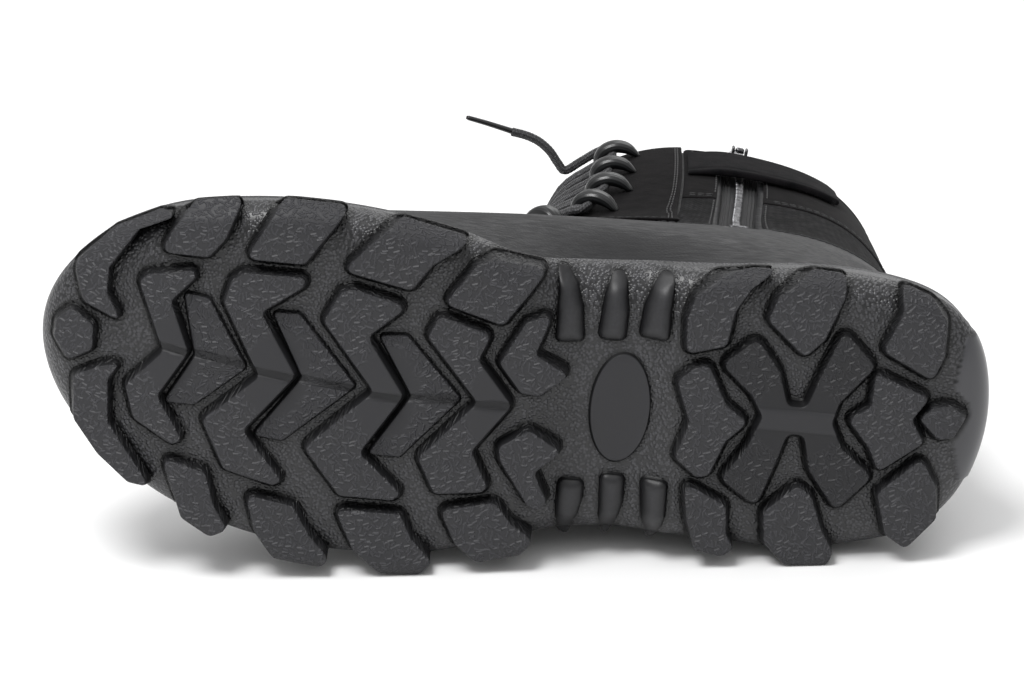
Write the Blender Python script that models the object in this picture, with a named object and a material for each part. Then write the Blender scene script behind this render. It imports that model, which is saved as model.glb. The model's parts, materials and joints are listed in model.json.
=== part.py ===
"""A tactical boot for the right foot, empty, lying on its outer side.

Everything is worked out in the shoe's own frame, in millimetres: s runs forward from the back of
the heel, t points to the inner (medial) side and h rises from the ground plane of the tread.
lay_down() then turns that frame so that the outer edge of the sole and the outer side of the shaft
rest on the floor, with the tread facing -Y and the toe towards -X.
"""

import math
from collections import namedtuple

import bmesh
import bpy
import numpy as np
from mathutils import Matrix, Vector
from mathutils.geometry import delaunay_2d_cdt

MM = 0.001
GAP = 0.35

# ---------------------------------------------------------------- driving sizes, mm

HEEL_END = -5.0
TOE_END = 314.0
LUG_DEPTH = 5.0
TOE_SPRING = 17.0
SPRING_START = 235.0
SPRING_END = 310.0
HEEL_BEVEL = 3.0
HEEL_BEVEL_END = 15.0
ARCH_RISE = 5.0
RIM_WIDTH = 3.0
FOOTBED_HEEL = 20.0
FOOTBED_BALL = 13.0

WALL = 2.4
LASTING_MARGIN = 9.0
INSOLE_THICKNESS = 4.0
INSOLE_FIT = 3.5
TONGUE_THICKNESS = 4.0
TONGUE_SET_IN = 3.4
EYESTAY_THICKNESS = 1.2
STRAP_THICKNESS = 2.2
LACE_DIAMETER = 3.5
ZIP_SLOT = 14.0
COLLAR_HEIGHT = 205.0

# ---------------------------------------------------------------- materials


def material(name, colour, roughness, metallic=0.0):
    made = bpy.data.materials.new(name)
    made.use_nodes = True
    shader = made.node_tree.nodes["Principled BSDF"]
    shader.inputs["Base Color"].default_value = (*colour, 1.0)
    shader.inputs["Roughness"].default_value = roughness
    shader.inputs["Metallic"].default_value = metallic
    return made


# ---------------------------------------------------------------- curves through table rows


def spline(xs, ys, x):
    """A smooth curve through the rows (xs, ys), read at x; its slope at a row is that of its
    two neighbours. ys may hold several columns."""
    xs = np.asarray(xs, float)
    ys = np.asarray(ys, float)
    x = np.clip(np.asarray(x, float), xs[0], xs[-1])
    steps = np.diff(xs)
    slopes = np.diff(ys, axis=0) / steps.reshape(-1, *[1] * (ys.ndim - 1))
    weight = (steps[1:] / (steps[1:] + steps[:-1])).reshape(-1, *[1] * (ys.ndim - 1))
    middle = slopes[:-1] * weight + slopes[1:] * (1 - weight)
    tangents = np.concatenate([slopes[:1], middle, slopes[-1:]])
    k = np.clip(np.searchsorted(xs, x, side="right") - 1, 0, len(xs) - 2)
    span = steps[k]
    q = (x - xs[k]) / span
    if ys.ndim > 1:
        q = q[..., None]
        span = span[..., None]
    return (
        (2 * q**3 - 3 * q**2 + 1) * ys[k]
        + (q**3 - 2 * q**2 + q) * span * tangents[k]
        + (3 * q**2 - 2 * q**3) * ys[k + 1]
        + (q**3 - q**2) * span * tangents[k + 1]
    )


def ease(x, start, end):
    """0 before start, 1 after end, and a smooth step between."""
    q = np.clip((x - start) / (end - start), 0, 1)
    return q * q * (3 - 2 * q)


# ---------------------------------------------------------------- sole: outline and levels

Station = namedtuple("Station", "s medial lateral wall_medial wall_lateral")
SOLE = [
    Station(HEEL_END, -2.0, -2.0, 34, 34),
    Station(3, 27.0, -31.0, 32, 32),
    Station(14, 36.5, -42.0, 30, 30),
    Station(32, 42.0, -49.0, 28, 27),
    Station(60, 43.5, -53.5, 26, 26),
    Station(90, 41.0, -52.5, 25, 25.5),
    Station(112, 39.5, -53.0, 26, 26),
    Station(132, 38.5, -55.0, 24, 25),
    Station(154, 39.5, -60.0, 17, 21),
    Station(175, 45.0, -66.0, 20, 21),
    Station(200, 49.0, -68.5, 23, 23),
    Station(225, 50.5, -67.5, 24, 24),
    Station(250, 48.5, -62.5, 27, 27),
    Station(270, 44.0, -55.5, 31, 31),
    Station(290, 34.0, -43.0, 36, 36),
    Station(303, 22.5, -31.0, 39, 39),
    Station(TOE_END, -4.0, -4.0, 42, 42),
]


def turn_of(s):
    """The turn at which the sole's outline passes s: 0 at the heel, pi at the toe."""
    share = (np.asarray(s, float) - HEEL_END) / (TOE_END - HEEL_END)
    return np.arccos(np.clip(1 - 2 * share, -1, 1))


STATION_TURN = turn_of([row.s for row in SOLE])


def round_the_sole(turn, medial, lateral):
    """Reads a pair of columns of SOLE at a turn: 0 at the heel, pi at the toe, 2 pi back again."""
    turn = np.mod(turn, 2 * math.pi)
    inner = spline(STATION_TURN, [getattr(row, medial) for row in SOLE], np.minimum(turn, math.pi))
    back = 2 * math.pi - np.maximum(turn, math.pi)
    outer = spline(STATION_TURN, [getattr(row, lateral) for row in SOLE], back)
    return np.where(turn <= math.pi, inner, outer)


def sole_edge(turn):
    s = HEEL_END + (TOE_END - HEEL_END) / 2 * (1 - np.cos(turn))
    return np.stack([s, round_the_sole(turn, "medial", "lateral")], -1)


def sole_ring(turn, inset):
    """The sole's outline moved inwards, square to itself, by inset."""
    along = sole_edge(turn + 1e-3) - sole_edge(turn - 1e-3)
    along /= np.linalg.norm(along, axis=-1, keepdims=True)
    inward = np.stack([along[..., 1], -along[..., 0]], -1)
    return sole_edge(turn) + inward * np.broadcast_to(inset, turn.shape)[..., None]


def ground(s):
    """Level of the tread's worn face: flat, then the toe spring, and a bevel at the heel's back."""
    spring = TOE_SPRING * (np.clip(s - SPRING_START, 0, None) / (SPRING_END - SPRING_START)) ** 1.8
    bevel = HEEL_BEVEL * (np.clip(HEEL_BEVEL_END - s, 0, None) / (HEEL_BEVEL_END - HEEL_END)) ** 2
    return spring + bevel


def arch(s):
    return ARCH_RISE * ease(s, 98, 116) * (1 - ease(s, 134, 154))


def base(s):
    """Level of the sole's body between the lugs."""
    return ground(s) + LUG_DEPTH - 1.5 * ease(s, 280, 305) + arch(s)


def footbed(s):
    return ground(s) + FOOTBED_HEEL + (FOOTBED_BALL - FOOTBED_HEEL) * ease(s, 70, 165)


def edge_slope(s):
    """How far the bottom edge of the side wall is drawn in: more at the waist than elsewhere."""
    return 1 + 0.8 * ease(s, 96, 112) * (1 - ease(s, 136, 156))


# Rows run from the flat of the bottom out to the widest line of the side wall.
EdgeRow = namedtuple("EdgeRow", "inset rise")
EDGE = [EdgeRow(13, 0), EdgeRow(7.5, 0.7), EdgeRow(3.5, 2.6), EdgeRow(1.0, 5.6), EdgeRow(0, 9)]


def inset_of(points, outline):
    """Distance of plan points from a closed outline, positive inside it."""
    start = outline[None]
    step = np.roll(outline, -1, axis=0)[None] - start
    offset = points[:, None] - start
    along = np.clip((offset * step).sum(-1) / (step**2).sum(-1), 0, 1)
    distance = np.linalg.norm(offset - along[..., None] * step, axis=-1).min(1)
    above = offset[..., 1] < 0
    crosses = above != (offset[..., 1] < step[..., 1])
    run = np.where(step[..., 1] == 0, 1, step[..., 1])
    left = offset[..., 0] < step[..., 0] * offset[..., 1] / run
    inside = (crosses & left).sum(1) % 2 == 1
    return np.where(inside, distance, -distance)


def depth_inside(points):
    return inset_of(points, sole_edge(np.linspace(0, 2 * math.pi, 360, endpoint=False)))


def base_at(points, depth):
    """Level of the sole's body at plan points, with its rounded edge."""
    inset = np.array([row.inset for row in EDGE])[::-1]
    rise = np.array([row.rise for row in EDGE])[::-1]
    return base(points[:, 0]) + np.interp(depth / edge_slope(points[:, 0]), inset, rise)


# ---------------------------------------------------------------- tread

Lug = namedtuple("Lug", "name radius corners")

EDGE_LUGS = [
    Lug("toe_medial", 2.5, [
        (285, 5), (291, 14), (291, 23), (282, 37), (270, 43), (275, 44.5), (290.5, 36), (303, 22),
        (299, 10),
    ]),
    Lug("toe_lateral", 2.5, [
        (285, -9), (289, -15), (288, -30), (272, -50), (280, -49.5), (291, -41.5), (300, -31),
        (301, -16), (292, -11),
    ]),
    Lug("medial_1", 2.5, [(274, 31), (258, 31.5), (253, 38), (248, 52), (264, 49), (270, 40)]),
    Lug("medial_2", 2.5, [
        (246, 32.5), (226.5, 32.5), (221, 41), (213, 52.5), (235, 53), (240, 44),
    ]),
    Lug("medial_3", 2.5, [(214, 31.5), (191, 27), (185, 36), (172, 45.5), (196, 50.5), (205, 42)]),
    Lug("medial_4", 2.5, [(180, 23.5), (160, 18), (154, 27), (147, 38), (165, 40), (171, 37)]),
    Lug("lateral_1", 2.5, [
        (269, -39), (254, -42), (250.5, -53), (245, -61), (251, -64.5), (261, -59),
    ]),
    Lug("lateral_2", 2.5, [
        (240, -48), (224, -50.5), (218, -60), (210.5, -68), (213, -71.5), (229, -70), (236, -61),
    ]),
    Lug("lateral_3", 2.5, [
        (210, -50.5), (188, -50), (184, -58), (176, -66), (180, -71.5), (193, -72), (203, -64),
    ]),
    Lug("lateral_4", 2.5, [
        (175, -47.5), (157, -43), (151, -50), (143, -55), (147, -61), (161, -65), (169, -59),
    ]),
    Lug("heel_medial_1", 2.5, [
        (99, 14), (86, 18), (85, 30), (77, 42), (86, 43.5), (96, 36), (100, 26),
    ]),
    Lug("heel_medial_2", 2.5, [
        (73.5, 28), (60, 16.5), (54, 23), (49, 38), (49, 45), (60, 45.5), (71, 36),
    ]),
    Lug("heel_medial_3", 2.5, [
        (34.5, 21), (17, 12.5), (14, 21), (14.5, 33), (20, 40), (30.5, 44), (29.5, 34),
    ]),
    Lug("heel_lateral_1", 2.5, [
        (95, -30), (80, -37), (79, -47), (75.5, -52), (80, -55), (89, -53.5), (93, -42),
    ]),
    Lug("heel_lateral_2", 2.5, [
        (67.5, -38), (57, -27.5), (52, -31), (47.5, -42), (42.5, -50), (44, -55), (58, -56),
        (66, -49),
    ]),
    Lug("heel_lateral_3", 2.5, [
        (30.5, -28), (17, -14.5), (11, -24), (9.5, -35), (18.5, -46.5), (26, -42),
    ]),
]

INNER_LUGS = [
    Lug("toe_centre", 2.0, [(303, 7), (295, 2.5), (295, -6), (303, -11), (308.5, -4), (308, 2)]),
    Lug("chevron_1", 2.5, [
        (280.5, 20), (278, 23), (263, 26.5), (261.5, 24.5), (269.5, 15), (262.5, -1.5), (272, -18),
        (262.5, -32), (266, -34), (279.5, -27), (283, -16), (271, -2.5),
    ]),
    Lug("chevron_2", 2.5, [
        (252, 17), (250, 25), (246, 28), (226, 28), (226, 25), (239.5, 15), (226.5, -5.5),
        (242.5, -26), (228.5, -42), (231, -44), (248, -40), (256.5, -24), (238.5, -7),
    ]),
    Lug("chevron_3", 2.5, [
        (219, 14), (214, 24.5), (210, 25.8), (191.5, 21.5), (204, 10), (190.5, -9), (203.5, -30),
        (188.5, -43), (191, -45.5), (209, -45.5), (222, -30), (200.5, -8.5),
    ]),
    Lug("chevron_4", 2.5, [
        (184.5, 12), (181, 19.5), (163.5, 14.5), (167, 5.5), (154.5, -9), (166.5, -26), (160, -38),
        (162, -40), (177.5, -42), (184, -30), (166, -9),
    ]),
    Lug("arch_medial", 2.0, [
        (160, 5), (152.5, 20), (144, 23), (148.5, 9), (136.5, 3), (146, -5), (152, -4.5),
    ]),
    Lug("arch_lateral", 2.0, [
        (157.5, -23.5), (148, -17), (136.5, -23.5), (145, -31.5), (140, -41), (142, -44.5),
        (146, -43.5), (157, -28),
    ]),
    Lug("heel_front", 2.5, [
        (101, 4.5), (96, 9.5), (91, 11), (84, -2), (76, -7.5), (83, -15), (87, -27), (91, -28),
        (99, -22), (95.5, -9),
    ]),
    Lug("heel_back", 2.0, [
        (36, 13.5), (17, 6.5), (22, -1.5), (17, -9), (31, -20.5), (35, -12.5), (43, -3.5), (36, 2),
    ]),
    Lug("heel_diamond", 1.5, [
        (19.5, -1), (15.5, 3.5), (9.5, 4.5), (4, 1), (7.5, -6.5), (12.5, -7.5),
    ]),
    Lug("heel_cross", 3.0, [
        (87, 11.5), (76, 21.5), (66.5, 10), (60.7, -2.5), (56, 14), (48, 27), (36, 15.5),
        (46.5, 2), (48.3, -5), (32.5, -22.5), (43.5, -35.5), (52, -23), (59, -9), (64, -25),
        (70, -36.5), (83, -28), (71.5, -7),
    ]),
]

# The ribs over the arch stand proud of the body and fade into the side wall.
ARCH_RIBS = [
    Lug("rib_medial_1", 3.0, [(143.5, 37), (136.5, 32), (133, 13), (141.5, 12.5), (142.5, 30)]),
    Lug("rib_medial_2", 3.0, [(126, 37), (121.5, 37), (118.5, 15.5), (128, 15), (127.5, 29)]),
    Lug("rib_medial_3", 3.0, [(109.5, 38), (105, 38), (105, 16.5), (114.5, 16.5), (113, 29)]),
    Lug("rib_lateral_1", 2.5, [
        (136.5, -35.5), (128, -35.5), (128.5, -48), (131, -57), (135.5, -56),
    ]),
    Lug("rib_lateral_2", 2.5, [(122.5, -32), (114, -32), (114.5, -46), (117, -54.5), (121, -53.5)]),
    Lug("rib_lateral_3", 2.5, [
        (109, -31.5), (100, -31.5), (99.7, -46), (102, -53.5), (106, -52.5),
    ]),
]
RIB_PROUD = 2.5

# Low plateaus lie between the chevrons.
PLATEAUS = [
    Lug("plateau_1", 1.5, [
        (265.5, 18), (257, 17), (243, -5), (259.5, -20), (270, -20.5), (260.5, -3),
    ]),
    Lug("plateau_2", 1.5, [
        (236, 15), (227, 15), (206.5, -8), (229.5, -29), (239.5, -28), (224.5, -6.5),
    ]),
    Lug("plateau_3", 1.5, [
        (200.5, 10.5), (191, 11), (171.5, -9), (190, -31), (201, -31), (188, -9.5),
    ]),
]
PLATEAU_PROUD = 2.0

OVAL_CENTRE = (118.3, -8.8)
OVAL_HALF = (9.8, 18.6)
OVAL_PROUD = 1.1


def rounded(corners, radius, turns):
    """The outline through corners, each one replaced by an arc of at most radius, in turns steps."""
    points = []
    count = len(corners)
    for k in range(count):
        here = Vector(corners[k])
        back = Vector(corners[k - 1]) - here
        ahead = Vector(corners[(k + 1) % count]) - here
        room = 0.45 * min(back.length, ahead.length)
        half = back.angle(ahead) / 2
        cut = min(radius / math.tan(half), room)
        start = here + back.normalized() * cut
        end = here + ahead.normalized() * cut
        for step in range(turns + 1):
            q = step / turns
            points.append(start * (1 - q) ** 2 + here * 2 * q * (1 - q) + end * q * q)
    return np.array([tuple(point) for point in points])


def split_long(points, longest):
    """Adds points to an outline so that no side is longer than longest."""
    found = []
    for here, following in zip(points, np.roll(points, -1, axis=0)):
        parts = max(1, math.ceil(np.linalg.norm(following - here) / longest))
        found += [here + (following - here) * k / parts for k in range(parts)]
    return np.array(found)


def outward(points):
    """Unit directions square to a closed outline, pointing out of it, whichever way it runs."""
    ahead = np.roll(points, -1, axis=0) - points
    ahead /= np.linalg.norm(ahead, axis=1, keepdims=True)
    back = np.roll(ahead, 1, axis=0)
    x, y = points.T
    area = (x * np.roll(y, -1) - y * np.roll(x, -1)).sum()
    normal = np.stack([ahead[:, 1] + back[:, 1], -ahead[:, 0] - back[:, 0]], -1) * np.sign(area)
    return normal / np.linalg.norm(normal, axis=1, keepdims=True)


def fill(outline, inner):
    """Triangles that cover an outline and pass through the inner points, as indices into both."""
    count = len(outline)
    edges = [(k, (k + 1) % count) for k in range(count)]
    flat = [Vector(point) for point in np.concatenate([outline, inner])]
    made = delaunay_2d_cdt(flat, edges, [list(range(count))], 1, 1e-5)
    source = [found[0] for found in made[3]]
    return [[source[corner] for corner in face] for face in made[2]]


def inner_points(outline, spacing, margin):
    """Points on a square grid that lie inside an outline by more than margin."""
    low = outline.min(0)
    high = outline.max(0)
    grid = np.meshgrid(*[np.arange(a + spacing / 2, b, spacing) for a, b in zip(low, high)])
    points = np.stack([axis.ravel() for axis in grid], -1)
    return points[inset_of(points, outline) > margin] if len(points) else points


# ---------------------------------------------------------------- meshes

for old_object in list(bpy.data.objects):
    bpy.data.objects.remove(old_object)

FRAME = bpy.data.objects.new("boot_frame", None)
bpy.context.scene.collection.objects.link(FRAME)


def add_piece(name, points, faces, finish, hidden=False):
    """A mesh object of points in millimetres in the shoe's frame, smooth but for sharp edges."""
    mesh = bpy.data.meshes.new(name)
    mesh.from_pydata((np.asarray(points) * MM).tolist(), [], [list(map(int, face)) for face in faces])
    mesh.materials.append(finish)
    mesh.shade_smooth()
    mesh.set_sharp_from_angle(angle=math.radians(35))
    made = bpy.data.objects.new(name, mesh)
    bpy.context.scene.collection.objects.link(made)
    made.parent = FRAME
    if hidden:
        made.hide_render = True
        made.display_type = "WIRE"
    return made


def face_outwards(piece):
    """Turns the faces of closed shells to point outwards."""
    work = bmesh.new()
    work.from_mesh(piece.data)
    bmesh.ops.recalc_face_normals(work, faces=work.faces)
    work.to_mesh(piece.data)
    work.free()
    return piece


def join(shells):
    """One list of points and one of faces from several."""
    points = []
    faces = []
    for shell_points, shell_faces in shells:
        start = sum(len(block) for block in points)
        points.append(shell_points)
        faces += [[corner + start for corner in face] for face in shell_faces]
    return np.concatenate(points), faces


def loft(rings):
    """A closed body through rings of equal count, each end filled from side to side."""
    rings = np.asarray(rings)
    levels, count = rings.shape[:2]
    faces = []
    for level in range(levels - 1):
        low = level * count
        for k in range(count):
            after = (k + 1) % count
            faces.append([low + k, low + after, low + count + after, low + count + k])
    for start, order in ((0, 1), ((levels - 1) * count, -1)):
        half = count // 2
        faces.append([start + k for k in (0, 1, count - 1)][::order])
        for j in range(1, half - 1):
            faces.append([start + k for k in (j, j + 1, count - j - 1, count - j)][::order])
        faces.append([start + k for k in (half - 1, half, half + 1)][::order])
    return rings.reshape(-1, 3), faces


def union(piece, other, name):
    step = piece.modifiers.new(name, "BOOLEAN")
    step.operation = "UNION"
    step.solver = "EXACT"
    step.object = other


def solidify(piece, thickness, outwards):
    step = piece.modifiers.new("wall", "SOLIDIFY")
    step.thickness = thickness * MM
    step.offset = 1 if outwards else -1
    step.use_even_offset = True
    step.use_quality_normals = True


# ---------------------------------------------------------------- outsole

SOLE_STEPS = 33
RIM_LEAN = 1.5
OUTER_LEAN = 3.0
FOOTBED_FILLET = 0.8
FACE_MEDIAL = [EdgeRow(8, 0), EdgeRow(4, 0.5), EdgeRow(1, 2.4), EdgeRow(-1.5, 5.5), EdgeRow(-4, 7)]
FACE_LATERAL = [EdgeRow(1, 0), EdgeRow(-1.5, 0.4), EdgeRow(-3.5, 1.6), EdgeRow(-5, 3)]
LUG_DRAFT = 1.2
LUG_SINK = 1.5
WALL_CLIMB_MEDIAL = 8.0
WALL_CLIMB_LATERAL = 11.0


def rim_inset(turn):
    """How far the top of the side wall stands in from its widest line."""
    s = sole_edge(turn)[..., 0]
    outer = np.where(turn > math.pi, ease(s, 150, 190) * (1 - ease(s, 240, 280)), 0)
    return RIM_LEAN + OUTER_LEAN * outer


def rim_level(turn):
    return round_the_sole(turn, "wall_medial", "wall_lateral")


def sole_body(turn):
    s = sole_edge(turn)[:, 0]

    def ring(inset, level):
        plan = sole_ring(turn, inset)
        return np.column_stack([plan, level(plan[:, 0])])

    rings = [ring(row.inset * edge_slope(s), lambda x, row=row: base(x) + row.rise) for row in EDGE]
    lean = rim_inset(turn)
    rings.append(ring(lean, lambda x: rim_level(turn)))
    rings.append(ring(lean + RIM_WIDTH, lambda x: rim_level(turn)))
    rings.append(ring(lean + RIM_WIDTH + FOOTBED_FILLET, footbed))
    return loft(rings)


def on_inner_side(points):
    halfway = [(row.medial + row.lateral) / 2 for row in SOLE]
    middle = spline([row.s for row in SOLE], halfway, points[:, 0])
    return points[:, 1] > middle


def table_read(table, inset):
    rows = sorted(table, key=lambda row: row.inset)
    return np.interp(inset, [row.inset for row in rows], [row.rise for row in rows])


def prism(outline, inner, face_level, root_level, flare):
    """A closed body between two levels over one outline, its root wider by flare."""
    triangles = fill(outline, inner)
    plan = np.concatenate([outline, inner])
    wide = outline + outward(outline) * flare[:, None]
    root = np.concatenate([wide, inner])
    points = np.concatenate([np.column_stack([plan, face_level]), np.column_stack([root, root_level])])
    count = len(outline)
    total = len(plan)
    faces = [list(face) for face in triangles]
    faces += [[corner + total for corner in face[::-1]] for face in triangles]
    faces += [[k, k + total, (k + 1) % count + total, (k + 1) % count] for k in range(count)]
    return points, faces


def lug_block(lug, turns, longest, spacing):
    """A tread lug: its face follows the ground and rounds up over the sole's edge, its sides have
    draft, and its root is sunk in the body or climbs the side wall."""
    outline = split_long(rounded(lug.corners, lug.radius, turns), longest)
    inner = inner_points(outline, spacing, spacing * 0.35)
    plan = np.concatenate([outline, inner])
    depth = depth_inside(plan)
    medial = on_inner_side(plan)
    rise = np.where(medial, table_read(FACE_MEDIAL, depth), table_read(FACE_LATERAL, depth))
    face = ground(plan[:, 0]) + rise
    climb = np.where(medial, WALL_CLIMB_MEDIAL, WALL_CLIMB_LATERAL)
    inside = base_at(plan, depth) + LUG_SINK
    beside = base(plan[:, 0]) + climb + 1.3 * np.minimum(depth, 0)
    root = inside + (beside - inside) * (1 - ease(depth, 0.5, 3))
    flare = LUG_DRAFT * (2 * ease(depth[: len(outline)], -2, 3) - 1)
    return prism(outline, inner, face, root, flare)


def low_block(lug, proud, turns, longest, spacing):
    """A rib or plateau: its face stands proud of the body and follows it up the side wall."""
    outline = split_long(rounded(lug.corners, lug.radius, turns), longest)
    inner = inner_points(outline, spacing, spacing * 0.35)
    plan = np.concatenate([outline, inner])
    depth = depth_inside(plan)
    body = base_at(plan, depth)
    fade = 0.15 + 0.85 * ease(depth, 1.5, 9)
    return prism(outline, inner, body - proud * fade, body + LUG_SINK, np.full(len(outline), 0.6))


def oval_corners(steps):
    turn = np.linspace(0, 2 * math.pi, steps, endpoint=False)
    return OVAL_CENTRE + np.column_stack([OVAL_HALF[0] * np.cos(turn), OVAL_HALF[1] * np.sin(turn)])


def make_outsole(finish):
    turn = np.linspace(0, 2 * math.pi, 2 * SOLE_STEPS, endpoint=False)
    sole = face_outwards(add_piece("outsole", *sole_body(turn), finish))
    blocks = [lug_block(lug, 2, 14, 11) for lug in EDGE_LUGS]
    blocks += [lug_block(lug, 1, 40, 60) for lug in INNER_LUGS]
    blocks += [low_block(lug, RIB_PROUD, 2, 9, 40) for lug in ARCH_RIBS]
    tread = face_outwards(add_piece("tread_blocks", *join(blocks), finish, hidden=True))
    union(sole, tread, "tread")
    low = [low_block(lug, PLATEAU_PROUD, 1, 40, 60) for lug in PLATEAUS]
    oval = Lug("oval", 0.01, oval_corners(24).tolist())
    low.append(low_block(oval, OVAL_PROUD, 1, 40, 60))
    plateaus = face_outwards(add_piece("low_blocks", *join(low), finish, hidden=True))
    union(sole, plateaus, "low_tread")
    return sole, tread


# ---------------------------------------------------------------- upper

# One row for each section of the upper: where it meets the heel line and the front line, and its
# half widths at four stations along it. flare widens the outer side over the ball.
Section = namedtuple("Section", "back_s back_h front_s front_h heel waist ball toe flare")
SECTIONS = [
    Section(1.5, 50, 304, 50, 38.0, 46.0, 43.5, 30.0, 8),
    Section(3.0, 70, 289, 67, 37.0, 44.5, 40.0, 28.5, 6),
    Section(6.0, 88, 258, 79, 34.5, 41.5, 37.0, 26.5, 3),
    Section(9.5, 106, 206, 90, 31.5, 39.0, 33.0, 20.5, 0),
    Section(11.5, 124, 169, 106, 29.8, 39.0, 34.0, 20.0, 0),
    Section(12.0, 142, 154, 127, 29.2, 39.5, 36.5, 22.0, 0),
    Section(12.0, 160, 147, 152, 29.0, 40.5, 39.0, 23.0, 0),
    Section(12.0, 182, 143, 180, 28.5, 41.0, 40.5, 23.5, 0),
    Section(12.5, COLLAR_HEIGHT, 140.5, COLLAR_HEIGHT + 1, 28.0, 41.0, 40.7, 23.5, 0),
    Section(13.0, 222, 136.5, 219, 27.5, 41.0, 39.5, 22.0, 0),
]
WIDTH_TURN = np.radians([0, 40, 80, 115, 150, 180])
CENTRE_LINE = -3.0
FIT = 0.8
WAIST_FIT = 1.6

# Levels are counted in rows: 0 the feather edge on the footbed, 1 the rim of the sole, then SECTIONS.
ZIP_FOOT = 4.1
THROAT_FOOT = 5.5
COLLAR = 10.0
TONGUE_TOP = 11.0

# Girth runs from 0 at the heel over the inner side to 1 at the front, and on to 2 at the heel again.
ZIP_GIRTH = (0.36, 0.44)
PANEL_GIRTH = 0.53
THROAT_GIRTH = 0.78
ZIP_LINE = [78, 78, 78, 78, 78, 77.5, 76.5, 74.5, 72.5, 71, 70, 70]
PANEL_LINE = [135, 135, 130, 122, 114, 106, 99, 96.5, 94.5, 93, 92, 91]
THROAT_LINE = [285, 285, 275, 262, 235, 197, 152, 135, 130.5, 127.5, 124.5, 122]


def section_rows(turn):
    """Every row of the upper read at the same turns: rows, points, 3."""
    plan_turn = np.minimum(turn, 2 * math.pi - turn)
    ahead = (1 - np.cos(plan_turn)) / 2
    outer = np.where(turn > math.pi, -1.0, 1.0)
    along = sole_edge(turn)[:, 0]
    fit = FIT + WAIST_FIT * ease(along, 95, 115) * (1 - ease(along, 170, 195))
    feather = sole_ring(turn, rim_inset(turn) + RIM_WIDTH + FOOTBED_FILLET + fit)
    rim = sole_ring(turn, rim_inset(turn) + RIM_WIDTH + fit)
    rows = [
        np.column_stack([feather, footbed(feather[:, 0]) + FIT]),
        np.column_stack([rim, rim_level(turn) + 0.5]),
    ]
    for row in SECTIONS:
        widths = np.array([row.heel, row.heel, row.waist, row.ball, row.toe, row.toe])
        widths = widths / np.sin(WIDTH_TURN[[1, 1, 2, 3, 4, 4]])
        half = np.sin(plan_turn) * spline(WIDTH_TURN, widths, plan_turn)
        flare = row.flare * ease(ahead, 0.35, 0.7) * (1 - ease(ahead, 0.8, 1))
        half = half + np.where(turn > math.pi, flare, 0)
        s = row.back_s + (row.front_s - row.back_s) * ahead
        h = row.back_h + (row.front_h - row.back_h) * ahead
        rows.append(np.column_stack([s, CENTRE_LINE + outer * half, h]))
    return np.array(rows)


def turn_at(level, girth):
    """The turn of a girth, set so that the zip, the panel's rear edge and the throat each keep to
    their own line up the boot."""
    index = np.arange(len(SECTIONS) + 2)
    back = spline(index, [0, 0] + [row.back_s for row in SECTIONS], level)
    front = spline(index, [309, 309] + [row.front_s for row in SECTIONS], level)
    centre = spline(index, ZIP_LINE, level)
    passed = [centre - ZIP_SLOT / 2, centre + ZIP_SLOT / 2]
    passed += [spline(index, PANEL_LINE, level), spline(index, THROAT_LINE, level)]
    girths = [0, *ZIP_GIRTH, PANEL_GIRTH, THROAT_GIRTH, 1]
    turns = [np.arccos(1 - 2 * (s - back) / (front - back)) for s in passed]
    turns = [np.zeros_like(level), *turns, np.full_like(level, math.pi)]
    half = np.minimum(girth, 2 - girth)
    found = np.zeros_like(half)
    for low, high, start, end in zip(girths[:-1], girths[1:], turns[:-1], turns[1:]):
        share = np.clip((half - low) / (high - low), 0, 1)
        found = np.where(half >= low, start + (end - start) * share, found)
    return np.where(girth > 1, 2 * math.pi - found, found)


def upper_point(level, girth):
    """The upper's outer surface."""
    level, girth = np.broadcast_arrays(np.asarray(level, float), np.mod(np.asarray(girth, float), 2))
    shape = level.shape
    level = level.ravel()
    rows = section_rows(turn_at(level, girth.ravel()))
    share = spline(np.arange(len(rows)), np.eye(len(rows)), level)
    return np.einsum("pr,rpc->pc", share, rows).reshape(*shape, 3)


def upper_frame(level, girth):
    """Point, outward normal, direction towards the front and direction up the wall."""
    step = 0.004
    top = np.minimum(np.asarray(level, float) + step, TONGUE_TOP)
    up = upper_point(top, girth) - upper_point(top - 2 * step, girth)
    turned = np.where(np.asarray(girth) > 1, -1.0, 1.0)[..., None]
    girth = np.asarray(girth)
    ahead = (upper_point(level, girth + step) - upper_point(level, girth - step)) * turned
    normal = np.cross(ahead, up) * -turned
    normal /= np.linalg.norm(normal, axis=-1, keepdims=True)
    ahead /= np.linalg.norm(ahead, axis=-1, keepdims=True)
    up = np.cross(ahead, normal) * turned
    return upper_point(level, girth), normal, ahead, up


def on_upper(level, girth, offset):
    level, girth, offset = np.broadcast_arrays(*map(np.asarray, (level, girth, offset)))
    point, normal, _, _ = upper_frame(level, girth)
    return point + normal * offset[..., None]


def lines(start, end, count):
    return np.linspace(start, end, count)


HEEL_LINES = lines(0, ZIP_GIRTH[0], 6)
ZIP_LINES = lines(*ZIP_GIRTH, 3)
QUARTER_LINES = lines(ZIP_GIRTH[1], PANEL_GIRTH, 4)
PANEL_LINES = lines(PANEL_GIRTH, THROAT_GIRTH, 6)
FRONT_LINES = lines(THROAT_GIRTH, 1, 4)
HALF_GIRTH = np.concatenate([HEEL_LINES, ZIP_LINES, QUARTER_LINES, PANEL_LINES, FRONT_LINES])
HALF_GIRTH = np.unique(np.round(HALF_GIRTH, 6))
GIRTH_LINES = np.concatenate([HALF_GIRTH, 2 - HALF_GIRTH[-2:0:-1]])
SHAFT_LINES = np.array([THROAT_FOOT, 6.0, 6.5, 7.0, 7.7, 8.5, 9.2, COLLAR])
LEVEL_LINES = np.array([0, 0.5, 1, 1.4, 2, 2.7, 3.4, ZIP_FOOT, 4.8, *SHAFT_LINES])


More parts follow.
